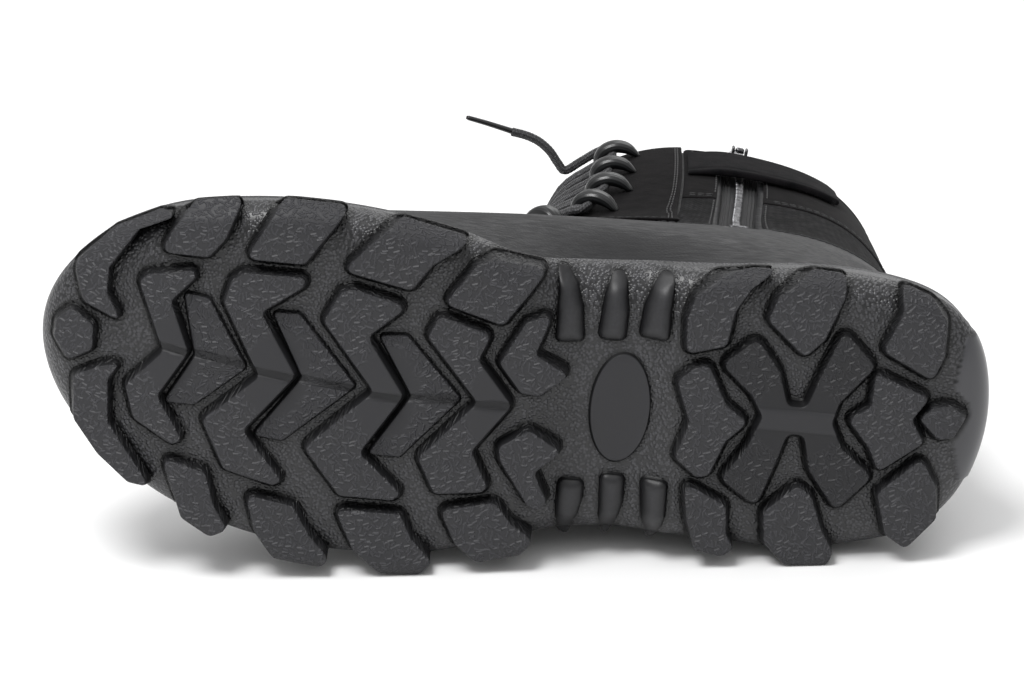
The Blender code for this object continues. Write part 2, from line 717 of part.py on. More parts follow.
def sheet(levels, girths, offset, closed=False, keep=None):
    """A grid of faces on the upper's surface, moved out by offset; keep says which cells stay."""
    grid = on_upper(levels[:, None], girths[None, :], offset)
    rows, columns = grid.shape[:2]
    faces = []
    for row in range(rows - 1):
        for column in range(columns if closed else columns - 1):
            after = (column + 1) % columns
            if keep is None or keep(row, column):
                cell = [row * columns + column, row * columns + after]
                faces.append([*cell, cell[1] + columns, cell[0] + columns][::-1])
    return grid.reshape(-1, 3), faces


def drop_loose(piece):
    work = bmesh.new()
    work.from_mesh(piece.data)
    bmesh.ops.delete(work, geom=[point for point in work.verts if not point.link_faces], context="VERTS")
    work.to_mesh(piece.data)
    work.free()
    return piece


def make_upper(finish):
    middle = (GIRTH_LINES + np.roll(GIRTH_LINES, -1)) / 2
    middle[-1] = (GIRTH_LINES[-1] + 2) / 2

    def stays(row, column):
        level = LEVEL_LINES[row]
        girth = middle[column]
        zip_slot = level >= ZIP_FOOT and ZIP_GIRTH[0] < girth < ZIP_GIRTH[1]
        throat = level >= THROAT_FOOT and THROAT_GIRTH < girth < 2 - THROAT_GIRTH
        return not zip_slot and not throat

    points, faces = sheet(LEVEL_LINES, GIRTH_LINES, 0.0, closed=True, keep=stays)
    count = len(GIRTH_LINES)
    feather = turn_at(np.zeros(count), GIRTH_LINES)
    margin = sole_ring(feather, rim_inset(feather) + RIM_WIDTH + FOOTBED_FILLET + FIT + LASTING_MARGIN)
    margin = np.column_stack([margin, footbed(margin[:, 0]) + FIT])
    start = len(points)
    faces += [[k, (k + 1) % count, start + (k + 1) % count, start + k] for k in range(count)]
    upper = drop_loose(add_piece("upper", np.concatenate([points, margin]), faces, finish))
    solidify(upper, WALL, outwards=False)
    return upper


def make_insole(finish):
    turn = np.linspace(0, 2 * math.pi, 40, endpoint=False)
    under = FIT + WALL + 3 * GAP
    inset = rim_inset(turn) + RIM_WIDTH + FOOTBED_FILLET + FIT + WALL + INSOLE_FIT
    rings = []
    for narrower, rise in ((0.8, 0), (0, 1.2), (0, INSOLE_THICKNESS - 1), (1, INSOLE_THICKNESS)):
        plan = sole_ring(turn, inset + narrower)
        rings.append(np.column_stack([plan, footbed(plan[:, 0]) + under + rise]))
    return face_outwards(add_piece("insole", *loft(rings), finish))


def make_tongue(finish):
    girths = np.concatenate([PANEL_LINES[-2:-1], FRONT_LINES])
    girths = np.concatenate([girths, 2 - girths[-2::-1]])
    levels = np.array([4.8, *SHAFT_LINES, 10.5, TONGUE_TOP - 0.1])
    tongue = add_piece("tongue", *sheet(levels, girths, -TONGUE_SET_IN), finish)
    solidify(tongue, TONGUE_THICKNESS, outwards=False)
    return tongue


def make_eyestay(name, finish, lateral):
    girths = np.sort(2 - PANEL_LINES) if lateral else PANEL_LINES
    eyestay = add_piece(name, *sheet(SHAFT_LINES, girths, GAP), finish)
    solidify(eyestay, EYESTAY_THICKNESS, outwards=True)
    return eyestay


# ---------------------------------------------------------------- zip and strap


def slab(levels, girths, inner, outer):
    """A closed body between two offsets from the upper, each a number or a function of girth."""
    rows, columns = len(levels), len(girths)
    skins = []
    for offset in (inner, outer):
        reach = offset(girths)[None, :] if callable(offset) else offset
        skins.append(on_upper(levels[:, None], girths[None, :], reach).reshape(-1, 3))
    total = rows * columns
    faces = []
    for row in range(rows - 1):
        for column in range(columns - 1):
            here = row * columns + column
            cell = [here, here + 1, here + columns + 1, here + columns]
            faces += [cell, [corner + total for corner in cell[::-1]]]
    border = [*range(columns - 1), *range(columns - 1, total - 1, columns)]
    border += [*range(total - 1, total - columns, -1), *range(total - columns, 0, -columns)]
    for here, after in zip(border, border[1:] + border[:1]):
        faces.append([here, here + total, after + total, after])
    return np.concatenate(skins), faces


TAPE_SET_IN = 3.5
TAPE_THICKNESS = 0.8
TAPE_LAP = 0.03
CHAIN_HALF_GIRTH = 0.013
CHAIN_BOTTOM = -TAPE_SET_IN + 0.5
CHAIN_TOP = -0.9
ZIP_TOP = 9.93
STOP_LEVELS = (4.35, 4.62)
SLIDER_LEVEL = 9.86
SLIDER = (7.6, 6.8, 2.2)
CHEEK = (1.1, 3.4, 3.0)
KNUCKLE_RADIUS = 1.1
KNUCKLE_WIDTH = 3.4
TAB = (5.0, 15.0, 1.3)
TAB_LEAN = -18.0
STRAP_LEVELS = (8.33, 9.6)
STRAP_GIRTHS = (0.22, 0.517)
STRAP_THIN_END = 1.0
STRAP_REAR_RISE = 4.0


def make_zip_tape(finish):
    girths = np.array([ZIP_GIRTH[0] - TAPE_LAP, *ZIP_LINES, ZIP_GIRTH[1] + TAPE_LAP])
    levels = np.array([ZIP_FOOT - 0.2, 4.8, *SHAFT_LINES[:-1], ZIP_TOP])
    body = slab(levels, girths, -TAPE_SET_IN - TAPE_THICKNESS, -TAPE_SET_IN)
    return face_outwards(add_piece("zip_tape", *body, finish))


def make_zip_teeth(finish):
    middle = sum(ZIP_GIRTH) / 2
    girths = middle + CHAIN_HALF_GIRTH * np.array([-1.0, 0.0, 1.0])
    levels = np.array([STOP_LEVELS[1] + 0.03, *SHAFT_LINES[:-1], ZIP_TOP - 0.02])
    return face_outwards(add_piece("zip_teeth", *slab(levels, girths, CHAIN_BOTTOM, CHAIN_TOP), finish))


def make_zip_stop(finish):
    middle = sum(ZIP_GIRTH) / 2
    girths = middle + 1.8 * CHAIN_HALF_GIRTH * np.array([-1.0, 0.0, 1.0])
    body = slab(np.array(STOP_LEVELS), girths, CHAIN_BOTTOM, CHAIN_TOP + 1.0)
    return face_outwards(add_piece("zip_stop", *body, finish))


def strap_inner(girth):
    """The strap lies close at its sewn front end and at its fastened rear end, and rides over the
    zip between them."""
    along = (girth - STRAP_GIRTHS[0]) / (STRAP_GIRTHS[1] - STRAP_GIRTHS[0])
    return 0.5 + 0.9 * np.sin(math.pi * np.clip(along, 0, 1)) ** 0.8


def strap_outer(girth):
    """The front end is skived thin, where it goes into the seam of the panel."""
    along = (STRAP_GIRTHS[1] - girth) / (STRAP_GIRTHS[1] - STRAP_GIRTHS[0])
    return strap_inner(girth) + STRAP_THIN_END + (STRAP_THICKNESS - STRAP_THIN_END) * ease(along, 0, 0.3)


def make_strap(finish):
    girths = lines(*STRAP_GIRTHS, 13)
    points, faces = slab(lines(*STRAP_LEVELS, 4), girths, strap_inner, strap_outer)
    grid = points.reshape(2, 4, 13, 3)
    rear = 1 - ease(girths, STRAP_GIRTHS[0], STRAP_GIRTHS[0] + 0.12)
    share = np.array([1, 0.6, 0.2, 0])[:, None]
    grid[..., 2] += rear * share * STRAP_REAR_RISE
    return face_outwards(add_piece("closure_strap", grid.reshape(-1, 3), faces, finish))


def box(size, centre):
    """A block: size and centre in its own frame."""
    corners = np.array([(x, y, z) for x in (-0.5, 0.5) for y in (-0.5, 0.5) for z in (-0.5, 0.5)])
    faces = [[0, 1, 3, 2], [4, 6, 7, 5], [0, 4, 5, 1], [2, 3, 7, 6], [0, 2, 6, 4], [1, 5, 7, 3]]
    return corners * size + centre, faces


def rod(radius, length, centre, sides):
    """A cylinder along its own frame's x."""
    turn = np.linspace(0, 2 * math.pi, sides, endpoint=False)
    ring = np.column_stack([np.zeros(sides), radius * np.cos(turn), radius * np.sin(turn)])
    points = np.concatenate([ring - (length / 2, 0, 0), ring + (length / 2, 0, 0)]) + centre
    faces = [[k, (k + 1) % sides, (k + 1) % sides + sides, k + sides] for k in range(sides)]
    return points, faces + [list(range(sides))[::-1], list(range(sides, 2 * sides))]


def place(points, level, girth):
    """Moves points from a small frame (x ahead, y up the shaft, z out) onto the upper."""
    origin, normal, ahead, up = upper_frame(np.array([level]), np.array([girth]))
    return origin + points @ np.array([ahead[0], up[0], normal[0]])


def lay_on(points, level, girth):
    """Bends points from that small frame onto the upper: z is the lift along the local normal."""
    origin, _, ahead, up = upper_frame(np.array([level]), np.array([girth]))
    axes = np.array([ahead[0], up[0]])
    levels = np.full(len(points), float(level))
    girths = np.full(len(points), float(girth))
    step = 0.002
    for _ in range(6):
        here = (upper_point(levels, girths) - origin) @ axes.T
        by_level = (upper_point(levels + step, girths) - upper_point(levels - step, girths)) @ axes.T
        by_girth = (upper_point(levels, girths + step) - upper_point(levels, girths - step)) @ axes.T
        slopes = np.stack([by_level, by_girth], -1) / (2 * step)
        change = np.linalg.solve(slopes, (points[:, :2] - here)[..., None])[..., 0]
        levels = levels + change[:, 0]
        girths = girths + change[:, 1]
    return on_upper(levels, girths, points[:, 2])


SLIDER_LIFT = CHAIN_TOP + GAP
HINGE = (0.0, SLIDER[1] / 2 - CHEEK[1] / 2 - 0.4, SLIDER_LIFT + SLIDER[2] + 1.8)


def make_slider(finish):
    middle = sum(ZIP_GIRTH) / 2
    body = box(SLIDER, (0, 0, SLIDER_LIFT + SLIDER[2] / 2))
    slider = add_piece("zip_slider", place(body[0], SLIDER_LEVEL, middle), body[1], finish)
    reach = KNUCKLE_WIDTH / 2 + GAP + CHEEK[0] / 2
    cheeks = [box(CHEEK, (side * reach, HINGE[1], HINGE[2] - 0.3)) for side in (-1, 1)]
    points, faces = join(cheeks)
    ears = add_piece("slider_cheeks", place(points, SLIDER_LEVEL, middle), faces, finish, hidden=True)
    union(face_outwards(slider), face_outwards(ears), "cheeks")
    return slider


def make_zip_tab(finish):
    """The pull tab lies up the shaft from its hinge and droops past the collar. Its origin is on the
    hinge."""
    middle = sum(ZIP_GIRTH) / 2
    knuckle = rod(KNUCKLE_RADIUS, KNUCKLE_WIDTH, (0, 0, 0), 10)
    plate = box((KNUCKLE_WIDTH - 0.4, 5.0, TAB[2]), (0, 2.6, 0))
    paddle = box(TAB, (0, 4.6 + TAB[1] / 2, 0))
    lean = math.radians(TAB_LEAN)
    cos, sin = math.cos(lean), math.sin(lean)
    leaning = np.array([(1, 0, 0), (0, cos, sin), (0, -sin, cos)])
    parts = (knuckle, plate, paddle)
    knuckle, plate, paddle = [(points @ leaning + HINGE, faces) for points, faces in parts]
    origin = place(np.array([HINGE]), SLIDER_LEVEL, middle)[0]
    tab = add_piece("zip_tab", place(paddle[0], SLIDER_LEVEL, middle) - origin, paddle[1], finish)
    tab.location = Vector(origin) * MM
    for name, (points, faces) in (("tab_neck", plate), ("tab_knuckle", knuckle)):
        other = add_piece(name, place(points, SLIDER_LEVEL, middle), faces, finish, hidden=True)
        union(tab, face_outwards(other), name)
    return face_outwards(tab)


# ---------------------------------------------------------------- laces

# Where each pair of lace loops stands on the panels, from the lowest up.
# Its turn, in degrees, sets it square to the edge of the throat.
LoopPlace = namedtuple("LoopPlace", "level girth turn")
LOOPS = [
    LoopPlace(5.95, 0.73, 52),
    LoopPlace(6.66, 0.70, 24),
    LoopPlace(7.65, 0.70, 8),
    LoopPlace(8.62, 0.70, 3),
    LoopPlace(9.58, 0.70, 0),
]
LACE_IN_LOOP = (1.5, 4.4)
LACE_AT_LEG = (7.5, 6.3)
LACE_LIFT = 4.45
CROSSING_LIFT = 2.25

# A lace loop in the small frame: x towards the front, z out from the upper, and its half sizes.
LoopRow = namedtuple("LoopRow", "x z wide thick")
LOOP_PATH = [
    LoopRow(-11.0, 3.5, 1.0, 0.9),
    LoopRow(-7.0, 5.8, 1.8, 1.25),
    LoopRow(-2.5, 7.9, 2.2, 1.35),
    LoopRow(3.0, 8.0, 2.3, 1.35),
    LoopRow(6.6, 5.3, 2.0, 1.3),
    LoopRow(7.2, 2.5, 1.7, 1.2),
]


def tube(path, wide, thick, side, sides):
    """A closed tube along a path, its section an ellipse. side gives each section's first direction,
    or one direction for them all."""
    path = np.asarray(path, float)
    along = np.gradient(path, axis=0)
    along /= np.linalg.norm(along, axis=1, keepdims=True)
    first = np.broadcast_to(side, path.shape)
    first = first - along * (first * along).sum(1, keepdims=True)
    first /= np.linalg.norm(first, axis=1, keepdims=True)
    second = np.cross(along, first)
    turn = np.linspace(0, 2 * math.pi, sides, endpoint=False)[None, :, None]
    wide = np.broadcast_to(wide, len(path))[:, None, None]
    thick = np.broadcast_to(thick, len(path))[:, None, None]
    across = np.cos(turn) * first[:, None] * wide
    points = path[:, None] + across + np.sin(turn) * second[:, None] * thick
    faces = []
    for ring in range(len(path) - 1):
        for k in range(sides):
            after = (k + 1) % sides
            low = ring * sides
            faces.append([low + k, low + after, low + sides + after, low + sides + k])
    last = (len(path) - 1) * sides
    faces += [list(range(sides))[::-1], [last + k for k in range(sides)]]
    return points.reshape(-1, 3), faces


def on_side(girth, lateral):
    return 2 - girth if lateral else girth


def turned(points, angle):
    """Turns a small frame's points about z, its x towards its y, by an angle in degrees."""
    angle = math.radians(angle)
    x, y, z = points.T
    cos, sin = math.cos(angle), math.sin(angle)
    return np.stack([x * cos - y * sin, x * sin + y * cos, z], -1)


def make_lace_loop(name, spot, lateral, finish):
    path = np.array([(row.x, 0.0, row.z) for row in LOOP_PATH])
    wide = [row.wide for row in LOOP_PATH]
    thick = [row.thick for row in LOOP_PATH]
    points, faces = tube(path, wide, thick, (0.0, 1.0, 0.0), 6)
    girth = on_side(spot.girth, lateral)
    points = lay_on(turned(points, spot.turn), spot.level, girth)
    return face_outwards(add_piece(name, points, faces, finish))


def strand_path(lateral):
    """The lace from the bar across the lowest loops up: round the front leg of a loop, up through
    the loop, out again and over the tongue to the next loop on the other side."""
    (x_in, y_in), (x_leg, y_leg) = LACE_IN_LOOP, LACE_AT_LEG
    turns = [(x_leg, -y_leg), (x_in, -y_in), (x_in, y_in), (x_leg, y_leg)]
    around = np.array([(x, y, LACE_LIFT) for x, y in turns])
    points = [on_upper([LOOPS[0].level - 0.03], [1.0], [CROSSING_LIFT])]
    points.append(on_upper([LOOPS[0].level - 0.1], [on_side(0.87, lateral)], [4.2]))
    for number, spot in enumerate(LOOPS):
        girth = on_side(spot.girth, lateral)
        stop = lay_on(turned(around, spot.turn), spot.level, girth)
        if number == len(LOOPS) - 1:
            points.append(stop[:3])
            break
        points.append(stop)
        after = LOOPS[number + 1]
        across = on_side(after.girth, not lateral)
        for share, lift in ((0.25, 4.5), (0.5, CROSSING_LIFT), (0.75, 4.5)):
            level = spot.level + (after.level - spot.level) * share
            points.append(on_upper([level], [girth + (across - girth) * share], [lift]))
        lateral = not lateral
    return np.concatenate(points)


def make_lace(finish):
    strands = []
    for name, lateral in (("lace_crossings", False), ("lace_other_strand", True)):
        path = strand_path(lateral)
        radius = LACE_DIAMETER / 2
        out = path - np.array([60.0, CENTRE_LINE, 0.0]) * (1, 1, 0)
        out[:, 2] = 8.0
        body = tube(path, radius, radius, out, 6)
        strands.append(face_outwards(add_piece(name, *body, finish, hidden=lateral)))
    union(strands[0], strands[1], "crossing")
    return strands[0]


# The loose end springs from the lace at the top loop, in the shoe's frame: s, t, h.
LACE_END_PATH = [
    (118.4, 37.6, 202.3),
    (120.2, 38.0, 204.6),
    (124.5, 35.8, 205.4),
    (130.5, 31.5, 205.0),
    (136.0, 27.8, 204.4),
    (139.2, 30.6, 204.2),
    (142.6, 34.8, 204.0),
    (147.0, 38.2, 203.6),
    (152.0, 40.2, 203.2),
    (158.0, 41.3, 203.0),
]
AGLET_PATH = [(158.5, 42.0, 203.0), (161.0, 42.4, 202.9), (168.0, 43.8, 202.6), (176.0, 45.4, 202.3)]
AGLET_DIAMETER = 2.4


def make_lace_end(name, path, diameter, finish):
    path = np.array(path)
    body = tube(path, diameter / 2, diameter / 2, (0.0, 0.0, 1.0), 8)
    return face_outwards(add_piece(name, *body, finish))


# ---------------------------------------------------------------- put together


def evaluated_points(piece):
    """The finished corners of a piece in the shoe's frame, in millimetres."""
    graph = bpy.context.evaluated_depsgraph_get()
    mesh = piece.evaluated_get(graph).to_mesh()
    points = np.empty(len(mesh.vertices) * 3)
    mesh.vertices.foreach_get("co", points)
    piece.evaluated_get(graph).to_mesh_clear()
    matrix = np.array(FRAME.matrix_world.inverted() @ piece.matrix_world)
    return (points.reshape(-1, 3) @ matrix[:3, :3].T + matrix[:3, 3]) / MM


def floor_normal(points):
    """The floor's upward normal in the shoe's frame: the plane under the forefoot's outer lugs,
    the heel's outer lugs and the outer side of the shaft."""
    low = points[:, 2] < 30
    groups = [low & (points[:, 0] > 150), low & (points[:, 0] < 100), points[:, 2] > 120]
    groups = [points[group] for group in groups]
    normal = np.array([0.12, 0.99, 0.0])
    for _ in range(6):
        fore, heel, shaft = [group[(group @ normal).argmin()] for group in groups]
        normal = np.cross(fore - heel, shaft - heel)
        normal *= np.sign(normal[1]) / np.linalg.norm(normal)
    return normal


def lay_down(pieces):
    bpy.context.view_layer.update()
    points = np.concatenate([evaluated_points(piece) for piece in pieces])
    up = floor_normal(points)
    right = np.array([-1.0, 0.0, 0.0])
    right -= up * (right @ up)
    right /= np.linalg.norm(right)
    away = np.cross(up, right)
    turned = points @ np.array([right, away, up]).T
    low = turned.min(0)
    high = turned.max(0)
    place = Matrix([right, away, up]).to_4x4()
    place.translation = Vector([-(low[0] + high[0]) / 2, -(low[1] + high[1]) / 2, -low[2]]) * MM
    FRAME.matrix_world = place


def main():
    rubber = material("moulded_rubber", (0.045, 0.045, 0.048), 0.55)
    leather = material("black_leather", (0.02, 0.02, 0.021), 0.5)
    nubuck = material("black_nubuck", (0.018, 0.017, 0.017), 0.9)
    padding = material("black_padded_nylon", (0.02, 0.02, 0.02), 0.85)
    board = material("foam_board", (0.03, 0.03, 0.03), 0.9)
    tape = material("woven_zip_tape", (0.02, 0.02, 0.02), 0.85)
    metal = material("brushed_nickel", (0.45, 0.45, 0.46), 0.35, 1.0)
    plastic = material("glossy_nylon", (0.02, 0.02, 0.02), 0.25)
    braid = material("braided_polyester", (0.03, 0.03, 0.03), 0.75)

    sole, _ = make_outsole(rubber)
    pieces = [sole, make_insole(board), make_upper(leather), make_tongue(padding)]
    pieces.append(make_eyestay("eyestay_medial", nubuck, lateral=False))
    pieces.append(make_eyestay("eyestay_lateral", nubuck, lateral=True))
    pieces += [make_zip_tape(tape), make_zip_teeth(metal), make_zip_stop(metal)]
    pieces += [make_slider(metal), make_zip_tab(metal), make_strap(nubuck)]
    for number, spot in enumerate(LOOPS, 1):
        pieces.append(make_lace_loop(f"lace_loop_medial_{number}", spot, False, plastic))
        pieces.append(make_lace_loop(f"lace_loop_lateral_{number}", spot, True, plastic))
    pieces.append(make_lace(braid))
    pieces.append(make_lace_end("lace_end", LACE_END_PATH, LACE_DIAMETER, braid))
    pieces.append(make_lace_end("lace_aglet", AGLET_PATH, AGLET_DIAMETER, plastic))
    lay_down(pieces)


main()
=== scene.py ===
# %% [markdown]
# # A tactical boot on its side
#
# The frame holds a imported model of the boot: every piece at its real size, but with plain faces.
# This notebook dresses it. Every piece is worked out again as a fine surface, mostly from the same
# tables as its solid, and gets a finish of its own.
# First the frame is loaded.

# %% Load the frame
import json
import math
from collections import namedtuple

import bmesh
import bpy
import numpy as np
from mathutils import Matrix, Vector
from mathutils.geometry import delaunay_2d_cdt

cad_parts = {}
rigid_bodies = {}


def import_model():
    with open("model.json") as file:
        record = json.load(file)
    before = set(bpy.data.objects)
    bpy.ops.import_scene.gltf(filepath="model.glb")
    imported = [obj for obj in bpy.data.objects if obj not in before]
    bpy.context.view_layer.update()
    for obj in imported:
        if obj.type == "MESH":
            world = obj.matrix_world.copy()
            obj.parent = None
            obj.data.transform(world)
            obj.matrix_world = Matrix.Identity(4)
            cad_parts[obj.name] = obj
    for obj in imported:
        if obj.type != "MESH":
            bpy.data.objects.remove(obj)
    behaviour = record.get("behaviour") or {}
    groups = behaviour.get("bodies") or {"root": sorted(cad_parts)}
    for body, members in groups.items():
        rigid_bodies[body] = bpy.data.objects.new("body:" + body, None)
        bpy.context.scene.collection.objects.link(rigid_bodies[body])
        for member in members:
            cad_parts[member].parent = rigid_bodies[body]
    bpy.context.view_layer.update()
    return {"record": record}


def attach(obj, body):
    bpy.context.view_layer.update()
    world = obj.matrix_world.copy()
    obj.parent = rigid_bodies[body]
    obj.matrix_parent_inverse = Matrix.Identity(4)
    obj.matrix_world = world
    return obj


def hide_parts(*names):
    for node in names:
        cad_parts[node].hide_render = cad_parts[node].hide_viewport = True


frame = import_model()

MM = 0.001

# %% [markdown]
# ## The boot's own frame
#
# A last maker measures along the sole, so the shapes here use s, forward from the back of the heel,
# t, towards the inner (medial) side, and h, up from the ground plane of the tread, in millimetres.
# The boot lies on its outer side, so that frame is turned. Two flat spots of the tread have known
# places in both frames, which is enough to work the turn out: up is against their outward axis,
# and the line from one to the other gives the other two directions.

# %% Turn boot millimetres into row metres
HEEL_SPOT = np.array([60.0, -5.5])
BALL_SPOT = np.array([195.5, -9.0])


def unit(vectors):
    """Each vector divided by its length."""
    return vectors / np.linalg.norm(vectors, axis=-1, keepdims=True)


def boot_frame():
    """Origin in metres and the three unit axes (s, t, h) as rows."""
    mounts = {mount["name"]: mount for mount in frame["record"]["mounts"]}
    heel, ball = (np.array(mounts[name]["pos_m"]) for name in ("heel_tread", "forefoot_tread"))
    up = -unit(np.array(mounts["heel_tread"]["axis"]))
    run_s, run_t = BALL_SPOT - HEEL_SPOT
    gap = ball - heel - up * ((ball - heel) @ up)
    side = np.cross(up, gap)
    ahead = unit(run_s * gap - run_t * side)
    inner = np.cross(up, ahead)
    origin = heel - (HEEL_SPOT[0] * ahead + HEEL_SPOT[1] * inner) * MM
    return origin, np.array([ahead, inner, up])


ORIGIN, AXES = boot_frame()


def to_row(points):
    """Boot millimetres (s, t, h) to row metres."""
    return ORIGIN + np.asarray(points, float) * MM @ AXES


print("heel corner of the boot's frame at", np.round(ORIGIN, 4).tolist())

# %% [markdown]
# ## Camera
#
# The boot is seen from in front of its tread, a little from above, so that the sole fills the
# picture and the laces and the zip show past it. The camera is placed in the boot's own frame:
# it looks at a point on the ground plane, and four angles say how the sole is turned before it.

# %% Camera
LOOK_AT = np.array([155.0, 0.0, 0.0])
CAMERA_DISTANCE = 1100.0
CAMERA_RISE = math.radians(17.0)
CAMERA_ROLL = math.radians(-1.55)
SOLE_TURN = math.radians(7.0)
SOLE_LEAN = math.radians(-1.0)
LENS_MM = 117.2
SHIFT = (-0.0012, 0.0378)


def camera_matrix():
    """The camera looks along -back. The sole's own directions, seen from it, are the length turned
    by SOLE_TURN in the picture plane and then leant by SOLE_LEAN."""
    back = np.array([0.0, -math.cos(CAMERA_RISE), math.sin(CAMERA_RISE)])
    right = np.array([1.0, 0.0, 0.0])
    up = np.cross(right, -back)
    cos, sin = math.cos(CAMERA_ROLL), math.sin(CAMERA_ROLL)
    right, up = right * cos + up * sin, up * cos - right * sin
    cos, sin = math.cos(SOLE_TURN), math.sin(SOLE_TURN)
    turned = np.array([(-cos, 0.0, sin), (sin, 0.0, cos), (0.0, 1.0, 0.0)])
    cos, sin = math.cos(SOLE_LEAN), math.sin(SOLE_LEAN)
    leant = np.array([(1.0, 0.0, 0.0), (0.0, cos, -sin), (0.0, sin, cos)])
    to_boot = leant @ turned.T
    columns = np.array([right, up, back]) @ to_boot
    matrix = np.eye(4)
    matrix[:3, :3] = (columns @ AXES).T
    matrix[:3, 3] = to_row(LOOK_AT + CAMERA_DISTANCE * back @ to_boot)
    return matrix


camera_data = bpy.data.cameras.new("camera")
camera_data.lens = LENS_MM
camera_data.shift_x, camera_data.shift_y = SHIFT
camera_data.clip_end = 20.0
camera = bpy.data.objects.new("camera", camera_data)
camera.matrix_world = Matrix(camera_matrix().tolist())
bpy.context.scene.collection.objects.link(camera)
bpy.context.scene.camera = camera
print("camera at", [round(value, 3) for value in camera.matrix_world.translation])

# %% [markdown]
# ## Finishes
#
# Every surface of this boot is nearly black, so what tells one from another is not colour but how
# it breaks up the light: pebbled rubber sparkles, nubuck scatters, nylon shines along an edge.
# Each material therefore starts from a very dark base, a typical roughness, and a relief whose
# scale is a real size in millimetres. One helper adds a node, with its settings and its links.

# %% Helpers for materials


def linear(hex_colour):
    """An sRGB hex colour as linear red, green, blue and alpha."""
    values = [int(hex_colour[k : k + 2], 16) / 255 for k in (1, 3, 5)]
    lit = [v / 12.92 if v <= 0.04045 else ((v + 0.055) / 1.055) ** 2.4 for v in values]
    return (*lit, 1.0)


def add_node(tree, kind, inputs=(), output=0, **settings):
    """Adds a node with its settings and gives one of its outputs. inputs are its sockets in order,
    or by name or number: each a number, a hex colour or the output of another node."""
    node = tree.nodes.new("ShaderNode" + kind)
    for name, value in settings.items():
        setattr(node, name, value)
    for name, value in inputs.items() if isinstance(inputs, dict) else enumerate(inputs):
        if isinstance(value, bpy.types.NodeSocket):
            tree.links.new(value, node.inputs[name])
        else:
            node.inputs[name].default_value = linear(value) if isinstance(value, str) else value
    return node.outputs[output]


def per_mm(size):
    """How often a pattern of this size in millimetres repeats in a metre."""
    return 1 / (size * MM)


def new_material(name, colour, roughness, **sockets):
    """A Principled material and its tree, with the uniform values set on the shader's sockets."""
    made = bpy.data.materials.new(name)
    made.use_nodes = True
    shader = made.node_tree.nodes["Principled BSDF"]
    shader.inputs["Base Color"].default_value = linear(colour)
    shader.inputs["Roughness"].default_value = roughness
    for socket, value in sockets.items():
        shader.inputs[socket.replace("_", " ").title().replace("Ior", "IOR")].default_value = value
    return made, made.node_tree


def object_space(tree, stretch=(1, 1, 1)):
    """Row coordinates in metres, turned into the boot's own directions and stretched."""
    where = add_node(tree, "TexCoord", output="Object")
    turn = Matrix(AXES.tolist()).to_euler()
    return add_node(tree, "Mapping", {"Vector": where, "Rotation": turn, "Scale": stretch})


def surface(made, layers, colour=None, roughness=None):
    """Links what varies to the shader: a colour, a roughness, and bumps one on the other. Each
    layer is a height from 0 to 1 and what 1 stands for, in mm."""
    tree = made.node_tree
    normal = None
    for height, size in layers:
        inputs = {"Height": height, "Distance": size * MM, "Strength": 1.0}
        if normal:
            inputs["Normal"] = normal
        normal = add_node(tree, "Bump", inputs)
    varying = {"Base Color": colour, "Roughness": roughness, "Normal": normal}
    for socket, value in varying.items():
        if value:
            tree.links.new(value, tree.nodes["Principled BSDF"].inputs[socket])
    return made


def dress(piece, made):
    piece.data.materials.clear()
    piece.data.materials.append(made)


def fit_out(piece, made, node=None):
    """Hides the solid that a piece stands for, where one is given, and dresses the piece."""
    if node:
        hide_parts(node)
    dress(piece, made)


# %% [markdown]
# ## Rubber
#
# The sole is moulded nitrile rubber. The mould was etched: a fine pebble, about a millimetre across,
# between the lugs and on the side wall, and short strokes at all angles on the lugs' worn faces.
# The strokes come from cells: in each, the place within the cell is turned by a random angle, and a
# stroke is where it is close to one axis. Shade is painted into the base colour: near black in
# crevices and at the feet of the blocks, and darker in the low parts of the grain and strokes. The
# ribs over the arch came from a polished part of the mould and are left smooth.

# %% Rubber finishes
# The near-black colour is painted shade in corners and at the blocks' feet, and the next darkest is
# painted shade in the low parts of the relief.
RUBBER_PAINTED_SHADE = "#020203"
RUBBER_FACE = "#3f3f42"
RUBBER_HOLLOW_SHADE = "#131314"
RUBBER_DUST = "#434241"
PEBBLE_MM = 1.1
PEBBLE_HEIGHT = 0.34
STROKE_MM = 0.95
STROKE_END_MM = 0.2
STROKE_HALF_WIDTH_MM = 0.26
STROKE_HEIGHT = 0.7


def pebbles(tree, where, size):
    """Rounded grains: 1 in the middle of each cell, falling with the square of the distance."""
    inputs = {"Vector": where, "Scale": per_mm(size), "Smoothness": 0.25}
    cells = add_node(tree, "TexVoronoi", inputs, feature="SMOOTH_F1")
    square = add_node(tree, "Math", [cells, cells], operation="MULTIPLY")
    return add_node(tree, "Math", [1.0, square], operation="SUBTRACT")


